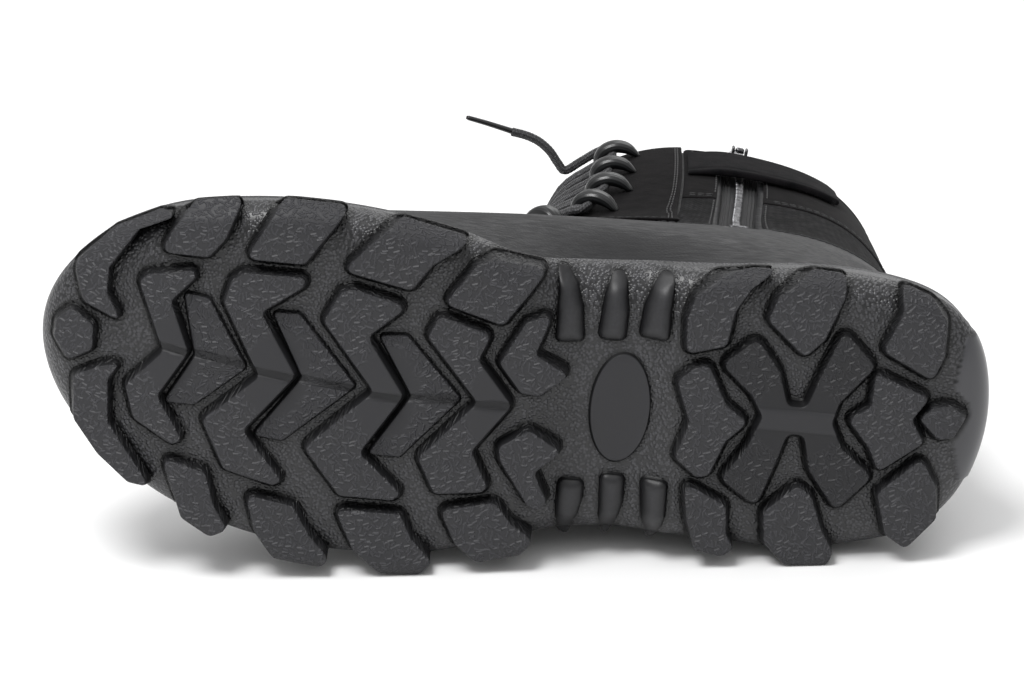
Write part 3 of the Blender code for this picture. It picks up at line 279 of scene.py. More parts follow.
def strokes(tree, cell_mm, seed):
    """Short strokes at random angles, one in each cell of the tread's plan."""
    plan = add_node(tree, "UVMap", uv_map="plan")
    plan = add_node(tree, "Mapping", {"Vector": plan, "Location": (seed, 2 * seed, 0)})
    inputs = {"Vector": plan, "Scale": per_mm(cell_mm), "Randomness": 0.9}
    cell = add_node(tree, "TexVoronoi", inputs, voronoi_dimensions="2D").node.outputs
    place = add_node(tree, "VectorMath", [plan, cell["Position"]], operation="SUBTRACT")
    chance = add_node(tree, "SeparateColor", [cell["Color"]])
    angle = add_node(tree, "Math", [chance, 2 * math.pi], operation="MULTIPLY")
    inputs = {"Vector": place, "Angle": angle}
    turned = add_node(tree, "VectorRotate", inputs, rotation_type="Z_AXIS")
    axes = add_node(tree, "SeparateXYZ", [turned]).node.outputs
    along, across = (add_node(tree, "Math", [axes[k]], operation="ABSOLUTE") for k in (0, 1))
    ends = (STROKE_MM * MM, (STROKE_MM + STROKE_END_MM) * MM)
    long = add_node(tree, "MapRange", [along, *ends, 1.0, 0.0])
    thin = add_node(tree, "MapRange", [across, 0.0, 2 * STROKE_HALF_WIDTH_MM * MM, 1.0, 0.0])
    return add_node(tree, "Math", [long, thin], operation="MULTIPLY")


def rubber(name, roughness, layers, shade="shade", dust_size=9, gloss=0.5):
    """Rubber whose colour is painted near black as shade where the shade attribute says that it lies
    in a corner, and painted darker as shade in the low parts of its relief, with a little dust that
    has settled in clouds on the open faces."""
    made, tree = new_material(name, RUBBER_FACE, roughness, specular_ior_level=gloss)
    where = object_space(tree)
    lit = add_node(tree, "Attribute", output="Fac", attribute_name=shade)
    dust = add_node(tree, "TexNoise", {"Vector": where, "Scale": per_mm(dust_size), "Detail": 5})
    dust = add_node(tree, "MapRange", [dust, 0.5, 0.8, 0.0, 0.22])
    height, size = layers(tree, where)
    raised = add_node(tree, "MapRange", [height, 0.0, 0.8])
    colour = RUBBER_DUST
    # Painted shade: darker in the low parts of the relief, and near black where the shade attribute
    # falls to 0.
    for share, low in ((dust, RUBBER_FACE), (raised, RUBBER_HOLLOW_SHADE), (lit, RUBBER_PAINTED_SHADE)):
        colour = add_node(tree, "Mix", {0: share, 6: low, 7: colour}, 2, data_type="RGBA")
    fine = add_node(tree, "TexNoise", {"Vector": where, "Scale": per_mm(0.35), "Detail": 2})
    return surface(made, [(fine, 0.03), (height, size)], colour)


def pebbled(tree, where):
    """Grain everywhere but on the plain heel bumper."""
    grain = add_node(tree, "MapRange", [pebbles(tree, where, PEBBLE_MM), 0.62, 0.97, 0.12, 0.8])
    plain = add_node(tree, "Attribute", output="Fac", attribute_name="plain")
    plain = add_node(tree, "Math", [plain, 0.8], operation="MULTIPLY")
    return add_node(tree, "Math", [grain, plain], operation="MAXIMUM"), PEBBLE_HEIGHT


def etched(tree, _):
    """Two sets of strokes, of which the higher one shows, where the etched attribute is 1."""
    sets = [strokes(tree, 2.2, 0.0), strokes(tree, 2.6, 0.7)]
    marks = add_node(tree, "Math", sets, operation="MAXIMUM")
    share = add_node(tree, "Attribute", output="Fac", attribute_name="etched")
    marks = add_node(tree, "Math", [marks, share], operation="MULTIPLY")
    return add_node(tree, "Math", [marks, 0.6, 0.38], operation="MULTIPLY_ADD"), STROKE_HEIGHT


def polished(tree, where):
    """Shallow waves that a cutter leaves, a millimetre or so apart."""
    waves = add_node(tree, "TexNoise", {"Vector": where, "Scale": per_mm(1.2), "Detail": 3})
    return add_node(tree, "MapRange", [waves, 0.0, 1.0, 0.2, 0.5]), 0.04


# The pebbled body reads its painted shade from the open attribute, the lugs and ribs from the shade
# attribute.
PEBBLED = rubber("nitrile_rubber_pebbled", 0.33, pebbled, "open", 25, 0.5)
ETCHED = rubber("nitrile_rubber_etched", 0.5, etched, gloss=0.3)
POLISHED = rubber("nitrile_rubber_polished", 0.42, polished, gloss=0.35)
print("rubber:", PEBBLED.name, ETCHED.name, POLISHED.name)

# %% [markdown]
# ## The loose lace end
#
# One end of the lace springs free past the top loop and ends in a plastic tip. A lace is a limp
# braided cord, so it follows one smooth curve through a few given points, the same ones as its
# solid.

# %% Helpers for pieces
BOOT_BODY = "boot"
TAB_BODY = "pull_tab"


def smooth_path(points, steps):
    """A Catmull-Rom curve: between two points it is the cubic whose slopes at them are half the
    step between their neighbours."""
    points = np.asarray(points, float)
    padded = np.concatenate([2 * points[:1] - points[1:2], points, 2 * points[-1:] - points[-2:-1]])
    before, start, end, after = (padded[k : k + len(points) - 1, None] for k in range(4))
    q = (np.arange(steps) / steps)[None, :, None]
    bend = 2 * before - 5 * start + 4 * end - after
    twist = 3 * start - before - 3 * end + after
    curve = start + q * (end - before) / 2 + q**2 * bend / 2 + q**3 * twist / 2
    return np.concatenate([curve.reshape(-1, points.shape[1]), points[-1:]])


def mesh_piece(name, points, faces, body=BOOT_BODY):
    """A smooth mesh that rides on a body. points are boot millimetres, faces a list of index
    arrays, one for quads and one for triangles. What rests on the floor is pressed flat there."""
    mesh = bpy.data.meshes.new(name)
    corners = np.concatenate([np.asarray(block, np.int32).ravel() for block in faces])
    counts = np.concatenate([np.full(len(block), np.shape(block)[1]) for block in faces])
    mesh.vertices.add(len(points))
    place = to_row(points)
    place[:, 2] = np.maximum(place[:, 2], 0)
    mesh.vertices.foreach_set("co", place.astype(np.float32).ravel())
    mesh.loops.add(len(corners))
    mesh.loops.foreach_set("vertex_index", corners)
    mesh.polygons.add(len(counts))
    mesh.polygons.foreach_set("loop_start", np.concatenate([[0], np.cumsum(counts)[:-1]]))
    mesh.update(calc_edges=True)
    mesh.validate()
    work = bmesh.new()
    work.from_mesh(mesh)
    bmesh.ops.recalc_face_normals(work, faces=work.faces)
    work.to_mesh(mesh)
    work.free()
    mesh.shade_smooth()
    piece = bpy.data.objects.new(name, mesh)
    bpy.context.scene.collection.objects.link(piece)
    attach(piece, body)
    return piece


def joined(bodies):
    """Bodies of points and face blocks as one: the numbers of each go up by the points before it."""
    starts = np.concatenate([[0], np.cumsum([len(body[0]) for body in bodies])[:-1]])
    blocks = zip(*(body[1:] for body in bodies))
    faces = [np.concatenate([f + start for f, start in zip(same, starts)]) for same in blocks]
    return np.concatenate([body[0] for body in bodies]), faces


def keep_values(piece, name, values):
    """A number at every point, for the materials to read."""
    layer = piece.data.attributes.new(name, "FLOAT", "POINT")
    layer.data.foreach_set("value", np.asarray(values, np.float32))


def corner_points(piece):
    """The number of the point at every corner of every face."""
    corners = np.empty(len(piece.data.loops), np.int32)
    piece.data.loops.foreach_get("vertex_index", corners)
    return corners


def keep_chart(piece, name, chart):
    """A UV map, from its values at every corner."""
    layer = piece.data.uv_layers.new(name=name)
    layer.data.foreach_set("uv", chart.astype(np.float32).ravel())


def circle(count):
    """Angles once round, evenly spaced."""
    return np.linspace(0, 2 * math.pi, count, endpoint=False)


def travelled(path):
    """The way along a path at each of its points."""
    return np.concatenate([[0], np.cumsum(np.linalg.norm(np.diff(path, axis=0), axis=1))])


def grid_quads(rows, columns, loop_columns=False):
    """The quads of a grid whose points are numbered row by row."""
    down = np.arange(rows - 1)[:, None]
    along = np.arange(columns if loop_columns else columns - 1)[None, :]
    after = (along + 1) % columns
    here, under = down * columns, (down + 1) * columns
    cell = [here + along, here + after, under + after, under + along]
    return np.stack(np.broadcast_arrays(*cell), -1).reshape(-1, 4)


def cap(start, count):
    """Triangles from the first to every other point of a convex ring."""
    k = np.arange(1, count - 1)
    return np.stack([np.zeros_like(k), k, k + 1], -1) + start


def frames_along(path, side):
    """At each point of a path: a first direction near side and square to the path, and a second
    one square to both."""
    along = unit(np.gradient(path, axis=0))
    first = np.broadcast_to(side, path.shape)
    first = unit(first - along * (first * along).sum(1, keepdims=True))
    return first, np.cross(along, first)


def tube_points(path, wide, thick, side, sides, power=1.0):
    """A section carried along a path: the point at angle a is wide times cos a along the first
    direction and thick times sin a along the second; a power under 1 squares the ellipse up."""
    first, second = frames_along(path, side)
    turn = circle(sides)
    cos, sin = (np.sign(wave) * np.abs(wave) ** power for wave in (np.cos(turn), np.sin(turn)))
    sizes = (np.broadcast_to(np.asarray(size, float).T, (sides, len(path))).T for size in (wide, thick))
    wide, thick = (size[..., None] for size in sizes)
    across = first[:, None] * cos[None, :, None] * wide
    return path[:, None] + across + second[:, None] * sin[None, :, None] * thick


def tube_body(grid):
    """Points, quads and end caps of a tube, from its rings."""
    rings, sides = grid.shape[:2]
    caps = np.concatenate([cap(0, sides), cap((rings - 1) * sides, sides)])
    return grid.reshape(-1, 3), grid_quads(rings, sides, loop_columns=True), caps


def tube_piece(name, grid):
    points, *faces = tube_body(grid)
    return mesh_piece(name, points, faces)


# %% The loose end and its tip
LACE_DIAMETER = 3.5
LACE_SIDES = 16
LACE_END_PATH = [
    (118.4, 37.6, 202.3),
    (120.2, 38.0, 204.6),
    (124.5, 35.8, 205.4),
    (130.5, 31.5, 205.0),
    (136.0, 27.8, 204.4),
    (139.2, 30.6, 204.2),
    (142.6, 34.8, 204.0),
    (147.0, 38.2, 203.6),
    (152.0, 40.2, 203.2),
    (158.0, 41.3, 203.0),
]
TIP_PATH = [(157.2, 41.3, 203.0), (161.0, 42.2, 202.9), (168.0, 43.8, 202.6), (176.0, 45.4, 202.3)]
TIP_DIAMETER = 2.4


def length_of(path):
    return np.linalg.norm(np.diff(path, axis=0), axis=1).sum()


def lace_tube(path, side, spread=1.0, rib_height=0.06, rib_pitch=1.4):
    """A tube along a path, and its chart: the turn round it and the way along it. It has shallow
    ribs where the strands cross over: the radius swells a little with the way along the lace and
    the angle round it. A lace that is pulled tight is a little flat, so spread widens it."""
    travel, turn = travelled(path)[:, None], circle(LACE_SIDES)[None, :]
    rib = rib_height * np.cos(2 * math.pi * travel / rib_pitch + 2 * turn) - rib_height
    radius = LACE_DIAMETER / 2
    grid = tube_points(path, radius + rib, radius * spread + rib, side, LACE_SIDES)
    chart = np.stack(np.broadcast_arrays(turn / (2 * math.pi), travel * MM), -1)
    return grid, chart.reshape(-1, 2)


def make_lace_end():
    path = smooth_path(LACE_END_PATH, 14)
    grid, chart = lace_tube(path, (0, 0, 1))
    ends = tube_piece("lace_end_braid", grid)
    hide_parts("lace_end")
    return ends, path, chart


def make_lace_tip():
    """A thin tube whose radius narrows towards its end."""
    path = smooth_path(TIP_PATH, 8)
    share = np.linspace(0, 1, len(path))
    radius = TIP_DIAMETER / 2 * (1 - 0.22 * share) * np.where(share > 0.97, 0.7, 1)
    tip = tube_piece("lace_tip", tube_points(path, radius[:, None], radius[:, None], (0, 0, 1), 14))
    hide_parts("lace_aglet")
    return tip, path


lace_end, lace_end_path, lace_end_chart = make_lace_end()
lace_tip, tip_path = make_lace_tip()
lengths = [round(length_of(path), 1) for path in (lace_end_path, tip_path)]
print("loose end and tip:", lengths, "mm")

# %% [markdown]
# ## Curves through tables
#
# A last and its sole are drawn from a few measured sections. A spline joins the rows of a table so
# that the shape runs smoothly between them, and a soft step, ease, blends one shape into the next.

# %% Splines and soft steps


def spline(xs, ys, x):
    """A cubic between rows, whose slope at a row is the weighted mean of its two neighbours'."""
    xs, ys = np.asarray(xs, float), np.asarray(ys, float)
    x = np.clip(np.asarray(x, float), xs[0], xs[-1])
    steps = np.diff(xs)
    tall = (-1, *[1] * (ys.ndim - 1))
    slopes = np.diff(ys, axis=0) / steps.reshape(tall)
    weight = (steps[1:] / (steps[1:] + steps[:-1])).reshape(tall)
    middle = slopes[:-1] * weight + slopes[1:] * (1 - weight)
    tangents = np.concatenate([slopes[:1], middle, slopes[-1:]])
    k = np.clip(np.searchsorted(xs, x, side="right") - 1, 0, len(xs) - 2)
    span, q = steps[k], (x - xs[k]) / steps[k]
    if ys.ndim > 1:
        span, q = span[..., None], q[..., None]
    value = (2 * q**3 - 3 * q**2 + 1) * ys[k] + (3 * q**2 - 2 * q**3) * ys[k + 1]
    bend = (q**3 - 2 * q**2 + q) * tangents[k] + (q**3 - q**2) * tangents[k + 1]
    return value + bend * span


def ease(x, start, end):
    """0 before start, 1 after end, and 3q2 - 2q3 between."""
    q = np.clip((np.asarray(x, float) - start) / (end - start), 0, 1)
    return q * q * (3 - 2 * q)


def bump(x, centre, width):
    """A smooth hill: 1 at centre, 0 from width away."""
    q = np.clip(1 - ((np.asarray(x, float) - centre) / width) ** 2, 0, 1)
    return q * q


# %% [markdown]
# ## The sole's outline and levels
#
# The rubber sole is one moulding. Its outline is a table of half widths at stations from heel to
# toe, read at a turn that runs round the sole, so that points crowd together at its two round ends.
# The ground, the arch and the top of the side wall are simple functions of s.

# %% Sole tables
HEEL_END = -5.0
TOE_END = 314.0
LUG_DEPTH = 5.0
FOOTBED_HEEL = 20.0
FOOTBED_BALL = 13.0
RIM_WIDTH = 3.0
FOOTBED_FILLET = 0.8

Station = namedtuple("Station", "s medial lateral wall_medial wall_lateral")
SOLE = [
    Station(HEEL_END, -2.0, -2.0, 34, 34),
    Station(3, 27.0, -31.0, 32, 32),
    Station(14, 36.5, -42.0, 30, 30),
    Station(32, 42.0, -49.0, 28, 27),
    Station(60, 43.5, -53.5, 26, 26),
    Station(90, 41.0, -52.5, 25, 25.5),
    Station(112, 39.5, -53.0, 26, 26),
    Station(132, 38.5, -55.0, 24, 25),
    Station(154, 39.5, -60.0, 17, 21),
    Station(175, 45.0, -66.0, 20, 21),
    Station(200, 49.0, -68.5, 23, 23),
    Station(225, 50.5, -67.5, 24, 24),
    Station(250, 48.5, -62.5, 27, 27),
    Station(270, 44.0, -55.5, 31, 31),
    Station(290, 34.0, -43.0, 36, 36),
    Station(303, 22.5, -31.0, 39, 39),
    Station(TOE_END, -4.0, -4.0, 42, 42),
]
STATION_TURN = np.arccos(1 - 2 * (np.array([row.s for row in SOLE]) - HEEL_END) / (TOE_END - HEEL_END))


def round_the_sole(turn, medial, lateral):
    """Reads two columns of SOLE at a turn: 0 at the heel, pi at the toe, 2 pi back again."""
    turn = np.mod(turn, 2 * math.pi)
    inner = spline(STATION_TURN, [getattr(row, medial) for row in SOLE], np.minimum(turn, math.pi))
    back = 2 * math.pi - np.maximum(turn, math.pi)
    outer = spline(STATION_TURN, [getattr(row, lateral) for row in SOLE], back)
    return np.where(turn <= math.pi, inner, outer)


def sole_edge(turn):
    """s goes with the cosine of the turn, and t is read from the table."""
    s = HEEL_END + (TOE_END - HEEL_END) / 2 * (1 - np.cos(turn))
    return np.stack([s, round_the_sole(turn, "medial", "lateral")], -1)


def sole_ring(turn, inset):
    """The outline moved inwards, square to itself, by inset."""
    along = unit(sole_edge(turn + 1e-3) - sole_edge(turn - 1e-3))
    inward = np.stack([along[..., 1], -along[..., 0]], -1)
    return sole_edge(turn) + inward * np.broadcast_to(inset, turn.shape)[..., None]


def ground(s):
    """The tread's worn face: flat, a toe spring with the power 1.8, and a bevel at the heel."""
    spring = 17 * (np.clip(s - 235, 0, None) / 75) ** 1.8
    return spring + 3 * (np.clip(15 - s, 0, None) / 20) ** 2


def base(s):
    """The body between the lugs: a lug's depth above the ground, and raised at the arch."""
    arch = 5 * ease(s, 98, 116) * (1 - ease(s, 134, 154))
    return ground(s) + LUG_DEPTH - 1.5 * ease(s, 280, 305) + arch


def footbed(s):
    return ground(s) + FOOTBED_HEEL + (FOOTBED_BALL - FOOTBED_HEEL) * ease(s, 70, 165)


def edge_slope(s):
    """The bottom edge of the side wall is drawn in more at the waist than elsewhere."""
    return 1 + 0.8 * ease(s, 96, 112) * (1 - ease(s, 136, 156))


def rim_inset(turn):
    """How far the top of the side wall stands in from its widest line."""
    s = sole_edge(turn)[..., 0]
    outer = np.where(turn > math.pi, ease(s, 150, 190) * (1 - ease(s, 240, 280)), 0)
    return 1.5 + 3 * outer


def rim_level(turn):
    return round_the_sole(turn, "wall_medial", "wall_lateral")


# Rows run from the flat of the bottom out to the widest line of the side wall.
EDGE_INSET = [13.0, 7.5, 3.5, 1.0, 0.0]
EDGE_RISE = [0.0, 0.7, 2.6, 5.6, 9.0]


def inset_of(points, outline):
    """Distance of plan points from a closed outline, positive inside it, found in blocks."""
    start = outline[None]
    step = np.roll(outline, -1, axis=0)[None] - start
    found = []
    for block in np.array_split(points, max(1, len(points) // 4000)):
        offset = block[:, None] - start
        along = np.clip((offset * step).sum(-1) / (step**2).sum(-1), 0, 1)
        distance = np.linalg.norm(offset - along[..., None] * step, axis=-1).min(1)
        above = offset[..., 1] < 0
        crosses = above != (offset[..., 1] < step[..., 1])
        run = np.where(step[..., 1] == 0, 1, step[..., 1])
        left = offset[..., 0] < step[..., 0] * offset[..., 1] / run
        found.append(np.where((crosses & left).sum(1) % 2 == 1, distance, -distance))
    return np.concatenate(found)


OUTLINE_POINTS = 360
SOLE_OUTLINE = sole_edge(circle(OUTLINE_POINTS))


def depth_inside(points):
    return inset_of(points, SOLE_OUTLINE)


def base_at(points, depth):
    """Level of the sole's body at plan points, with its rounded edge."""
    rise = np.interp(depth / edge_slope(points[:, 0]), EDGE_INSET[::-1], EDGE_RISE[::-1])
    return base(points[:, 0]) + rise


def middle_line(s):
    return spline([row.s for row in SOLE], [(row.medial + row.lateral) / 2 for row in SOLE], s)


print("sole", TOE_END - HEEL_END, "mm long and", np.ptp(SOLE_OUTLINE[:, 1]).round(1), "mm wide")

# %% [markdown]
# ## The body of the sole
#
# Under the lugs lies one smooth rubber body. Its skin is a grid: columns go round the sole and rows
# go from the middle line of the bottom, over the rounded edge and up the side wall to the rim, then
# down to the footbed inside. Near the middle, each ring shrinks towards the middle line.

# %% Sole body
SOLE_COLUMNS = 720
BOTTOM_ROWS = 36
EDGE_ROWS = 21
WALL_ROWS = 14
RIM_ROWS = [(0.35, -0.05), (0.9, 0.1), (RIM_WIDTH, -0.3)]  # inwards from the rim, and up

BUMPER_EDGE = [(3.6, -22), (7.5, -7.7), (3.2, 0.5), (3.6, 4.3), (9, 9), (7, 26.3)]
BUMPER_PROUD = 0.9


def bumper(points):
    """1 on the plain heel bumper behind its zigzag edge, and 0 in front of it. It ends at the two
    sides of the heel, where the edge meets the side wall."""
    s, t = np.array(BUMPER_EDGE).T
    behind = np.interp(points[..., 1], t, s) - points[..., 0]
    aside = np.minimum(points[..., 1] + 23, 27 - points[..., 1])
    return ease(behind, -0.5, 0.5) * ease(aside, -0.5, 0.5)


def wall_relief(share):
    """A soft bead runs along the top of the side wall, under the upper."""
    return 0.5 * bump(share, 0.86, 0.12)


def sole_skin(turn):
    """Rows of the grid, each a ring round the sole."""
    plan = sole_ring(turn, EDGE_INSET[0] * edge_slope(sole_edge(turn)[:, 0]))
    centre = middle_line(plan[:, 0])
    rows = []
    for share in np.linspace(0.0, 1.0, BOTTOM_ROWS + 1)[:-1]:
        inner = np.column_stack([plan[:, 0], centre + (plan[:, 1] - centre) * share])
        rows.append(np.column_stack([inner, base(inner[:, 0])]))
    steps = np.linspace(0, len(EDGE_INSET) - 1, EDGE_ROWS)
    for inset, rise in zip(*(spline(range(5), column, steps) for column in (EDGE_INSET, EDGE_RISE))):
        plan = sole_ring(turn, inset * edge_slope(sole_edge(turn)[:, 0]))
        rows.append(np.column_stack([plan, base(plan[:, 0]) + rise]))
    widest = rows[-1][:, 2]
    lean = rim_inset(turn)
    for share in np.linspace(0, 1, WALL_ROWS + 1)[1:]:
        plan = sole_ring(turn, lean * share**1.5 - wall_relief(share))
        rows.append(np.column_stack([plan, widest + (rim_level(turn) - widest) * share]))
    for inset, rise in RIM_ROWS:
        plan = sole_ring(turn, lean + inset)
        rows.append(np.column_stack([plan, rim_level(turn) + rise]))
    plan = sole_ring(turn, lean + RIM_WIDTH + FOOTBED_FILLET)
    rows.append(np.column_stack([plan, footbed(plan[:, 0])]))
    centre = middle_line(plan[:, 0])
    inner = np.column_stack([plan[:, 0], centre])
    rows.append(np.column_stack([inner, footbed(inner[:, 0])]))
    rows = np.array(rows)
    outside = rows[:-5]
    raised = BUMPER_PROUD * bumper(outside)[..., None] * np.array([-0.7, 0, -0.7])
    rows[:-5] = outside + raised
    return rows


def make_sole_body():
    skin = sole_skin(circle(SOLE_COLUMNS))
    faces = [grid_quads(*skin.shape[:2], loop_columns=True)]
    body = mesh_piece("sole_body", skin.reshape(-1, 3), faces)
    fit_out(body, PEBBLED, "outsole")
    return body, skin.reshape(-1, 3)


sole_body, sole_points = make_sole_body()
print("sole body:", len(sole_body.data.polygons), "faces")

# %% [markdown]
# ## Lugs
#
# Each lug is a block with a flat worn face, a rounded edge, sides with draft and a small fillet at
# its foot, as a mould cutter leaves them. An outline of few corners gets an arc at each of them.
# The block's skin is a profile carried round that outline, and its face is a net of triangles.
# The foot is sunk into the body, so the two surfaces simply pass through each other.

# %% Outlines with round corners


def rounded(corners, radius, turns):
    """Each corner becomes a curve: a quadratic between points at most radius / tan(half the
    corner's angle) away on its two sides."""
    here = np.asarray(corners, float)
    back, ahead = np.roll(here, 1, 0) - here, np.roll(here, -1, 0) - here
    reach_back, reach_ahead = (np.linalg.norm(side, axis=1) for side in (back, ahead))
    back, ahead = back / reach_back[:, None], ahead / reach_ahead[:, None]
    half = np.arccos(np.clip((back * ahead).sum(1), -1, 1)) / 2
    cut = np.minimum(radius / np.tan(half), 0.48 * np.minimum(reach_back, reach_ahead))[:, None]
    q = np.linspace(0, 1, turns)[None, :, None]
    start, middle, end = (here + back * cut)[:, None], here[:, None], (here + ahead * cut)[:, None]
    return (start * (1 - q) ** 2 + middle * 2 * q * (1 - q) + end * q * q).reshape(-1, 2)


def evenly(points, spacing):
    """The closed outline again, in points about spacing apart along it."""
    loop = np.concatenate([points, points[:1]])
    travel = travelled(loop)
    keep = np.concatenate([[True], np.diff(travel) > 1e-6])
    at = np.linspace(0, travel[-1], max(12, round(travel[-1] / spacing)), endpoint=False)
    return np.stack([np.interp(at, travel[keep], column[keep]) for column in loop.T], -1)


def outward(points):
    """Unit directions square to a closed outline, pointing out of it, whichever way it runs."""
    ahead = np.roll(points, -1, 0) - np.roll(points, 1, 0)
    x, y = points.T
    area = (x * np.roll(y, -1) - y * np.roll(x, -1)).sum()
    return unit(np.stack([ahead[:, 1], -ahead[:, 0]], -1) * np.sign(area))


def crossed(outline, cuts):
    """The outline with a point added wherever it crosses a cut, and the edges that join those points
    in pairs across it. A cut is a function of plan points that changes sign at its line."""
    edges = []
    for cut in cuts:
        side = cut(outline)
        after = np.roll(side, -1)
        at = np.flatnonzero((side < 0) != (after < 0))
        if len(at) < 2:
            continue
        share = (side[at] / (side[at] - after[at]))[:, None]
        new = outline[at] * (1 - share) + np.roll(outline, -1, 0)[at] * share
        order = np.argsort(np.concatenate([np.arange(len(outline)), at + 0.5]), kind="stable")
        place = np.empty(len(order), int)
        place[order] = np.arange(len(order))
        outline = np.concatenate([outline, new])[order]
        edges = [(place[a], place[b]) for a, b in edges]
        ends = place[len(place) - len(new) :][np.argsort(new[:, 0])]
        edges += list(zip(ends[0::2], ends[1::2]))
    return outline, [(int(a), int(b)) for a, b in edges]


def fill(outline, spacing, creases=()):
    """Points on a square net inside an outline, and the triangles that join them to it, with the
    creases among their edges."""
    low, high = outline.min(0), outline.max(0)
    net = np.meshgrid(*[np.arange(a + spacing / 2, b, spacing) for a, b in zip(low, high)])
    net = np.stack([axis.ravel() for axis in net], -1)
    net = net[inset_of(net, outline) > spacing * 0.4] if len(net) else net.reshape(0, 2)
    count = len(outline)
    edges = [(k, (k + 1) % count) for k in range(count)] + list(creases)
    flat = [Vector(point) for point in np.concatenate([outline, net])]
    made = delaunay_2d_cdt(flat, edges, [list(range(count))], 1, 1e-5)
    added = [k for k, found in enumerate(made[3]) if not found]
    last = {k: len(flat) + place for place, k in enumerate(added)}
    source = np.array([found[0] if found else last[k] for k, found in enumerate(made[3])])
    extra = np.array([made[0][k] for k in added]).reshape(-1, 2)
    return np.concatenate([net, extra]), source[np.array(made[2])]


# %% Lug tables
Lug = namedtuple("Lug", "name radius corners")
EDGE_LUGS = [
    Lug("toe_medial", 2.5, [
        (285, 5), (291, 14), (291, 23), (282, 37), (270, 43), (275, 44.5), (290.5, 36), (303, 22),
        (299, 10),
    ]),
    Lug("toe_lateral", 2.5, [
        (285, -9), (289, -15), (288, -30), (272, -50), (280, -49.5), (291, -41.5), (300, -31),
        (301, -16), (292, -11),
    ]),
    Lug("medial_1", 2.5, [(274, 31), (258, 31.5), (253, 38), (248, 52), (264, 49), (270, 40)]),
    Lug("medial_2", 2.5, [
        (246, 32.5), (226.5, 32.5), (221, 41), (213, 52.5), (235, 53), (240, 44),
    ]),
    Lug("medial_3", 2.5, [(214, 31.5), (191, 27), (185, 36), (172, 45.5), (196, 50.5), (205, 42)]),
    Lug("medial_4", 2.5, [(180, 23.5), (160, 18), (154, 27), (147, 38), (165, 40), (171, 37)]),
    Lug("lateral_1", 2.5, [
        (269, -39), (254, -42), (250.5, -53), (245, -61), (251, -64.5), (261, -59),
    ]),
    Lug("lateral_2", 2.5, [
        (240, -48), (224, -50.5), (218, -60), (210.5, -68), (213, -71.5), (229, -70), (236, -61),
    ]),
    Lug("lateral_3", 2.5, [
        (210, -50.5), (188, -50), (184, -58), (176, -66), (180, -71.5), (193, -72), (203, -64),
    ]),
    Lug("lateral_4", 2.5, [
        (175, -47.5), (157, -43), (151, -50), (143, -55), (147, -61), (161, -65), (169, -59),
    ]),
    Lug("heel_medial_1", 2.5, [
        (99, 14), (86, 18), (84.5, 30), (80, 38), (71.5, 44.5), (80, 44), (90, 41), (98, 34), (100, 26),
    ]),
    Lug("heel_medial_2", 2.5, [
        (73.5, 28), (60, 16.5), (54, 23), (49, 38), (49, 45), (60, 45.5), (71, 36),
    ]),
    Lug("heel_medial_3", 2.5, [
        (34.5, 21), (17, 12.5), (14, 21), (14.5, 33), (20, 40), (30.5, 44), (29.5, 34),
    ]),
    Lug("heel_lateral_1", 2.5, [
        (95, -30), (80, -37), (79, -47), (75.5, -52), (80, -55), (89, -53.5), (93, -42),
    ]),
    Lug("heel_lateral_2", 2.5, [
        (67.5, -38), (57, -27.5), (52, -31), (47.5, -42), (42.5, -50), (44, -55), (58, -56),
        (66, -49),
    ]),
    Lug("heel_lateral_3", 2.5, [
        (30.5, -28), (17, -14.5), (11, -24), (9.5, -35), (18.5, -46.5), (26, -42),
    ]),
]

INNER_LUGS = [
    Lug("toe_centre", 2.0, [(303, 7), (295, 2.5), (295, -6), (303, -11), (308.5, -4), (308, 2)]),
    Lug("chevron_1", 2.5, [
        (280.5, 20), (278, 23), (263, 26.5), (261.5, 24.5), (269.5, 15), (262.5, -1.5), (272, -18),
        (262.5, -32), (266, -34), (279.5, -27), (283, -16), (271, -2.5),
    ]),
    Lug("chevron_2", 2.5, [
        (252, 17), (250, 25), (246, 28), (226, 28), (226, 25), (239.5, 15), (226.5, -5.5),
        (242.5, -26), (228.5, -42), (231, -44), (248, -40), (256.5, -24), (238.5, -7),
    ]),
    Lug("chevron_3", 2.5, [
        (219, 14), (214, 24.5), (210, 25.8), (191.5, 21.5), (204, 10), (190.5, -9), (203.5, -30),
        (188.5, -43), (191, -45.5), (209, -45.5), (222, -30), (200.5, -8.5),
    ]),
    Lug("chevron_4", 2.5, [
        (184.5, 12), (181, 19.5), (163.5, 14.5), (167, 5.5), (154.5, -9), (166.5, -26), (160, -38),
        (162, -40), (177.5, -42), (184, -30), (166, -9),
    ]),
    Lug("arch_medial", 2.0, [
        (160, 5), (152.5, 20), (144, 23), (148.5, 9), (136.5, 3), (146, -5), (152, -4.5),
    ]),
    Lug("arch_lateral", 2.0, [
        (157.5, -23.5), (148, -17), (136.5, -23.5), (145, -31.5), (140, -41), (142, -44.5),
        (146, -43.5), (157, -28),
    ]),
    Lug("heel_front", 2.5, [
        (101, 4.5), (96, 9.5), (91, 11), (84, -2), (76, -7.5), (83, -15), (87, -27), (91, -28),
        (99, -22), (95.5, -9),
    ]),
    Lug("heel_back", 2.0, [
        (36, 13.5), (17, 6.5), (22, -1.5), (17, -9), (31, -20.5), (35, -12.5), (43, -3.5), (36, 2),
    ]),
    Lug("heel_diamond", 1.5, [
        (19.5, -1), (15.5, 3.5), (9.5, 4.5), (4, 1), (7.5, -6.5), (12.5, -7.5),
    ]),
    Lug("heel_cross", 3.0, [
        (87, 11.5), (76, 21.5), (67.5, 11), (63.6, -0.6), (57.4, -0.6), (53.6, 11.5), (48, 27),
        (36, 15.5), (46.5, 2), (48.3, -5), (44, -13.5), (32.5, -22.5), (43.5, -35.5), (54, -22),
        (57, -10.2), (62.6, -10.2), (65.6, -22), (70, -36.5), (83, -28), (75.5, -16), (71.5, -5),
        (76, 2),
    ]),
]

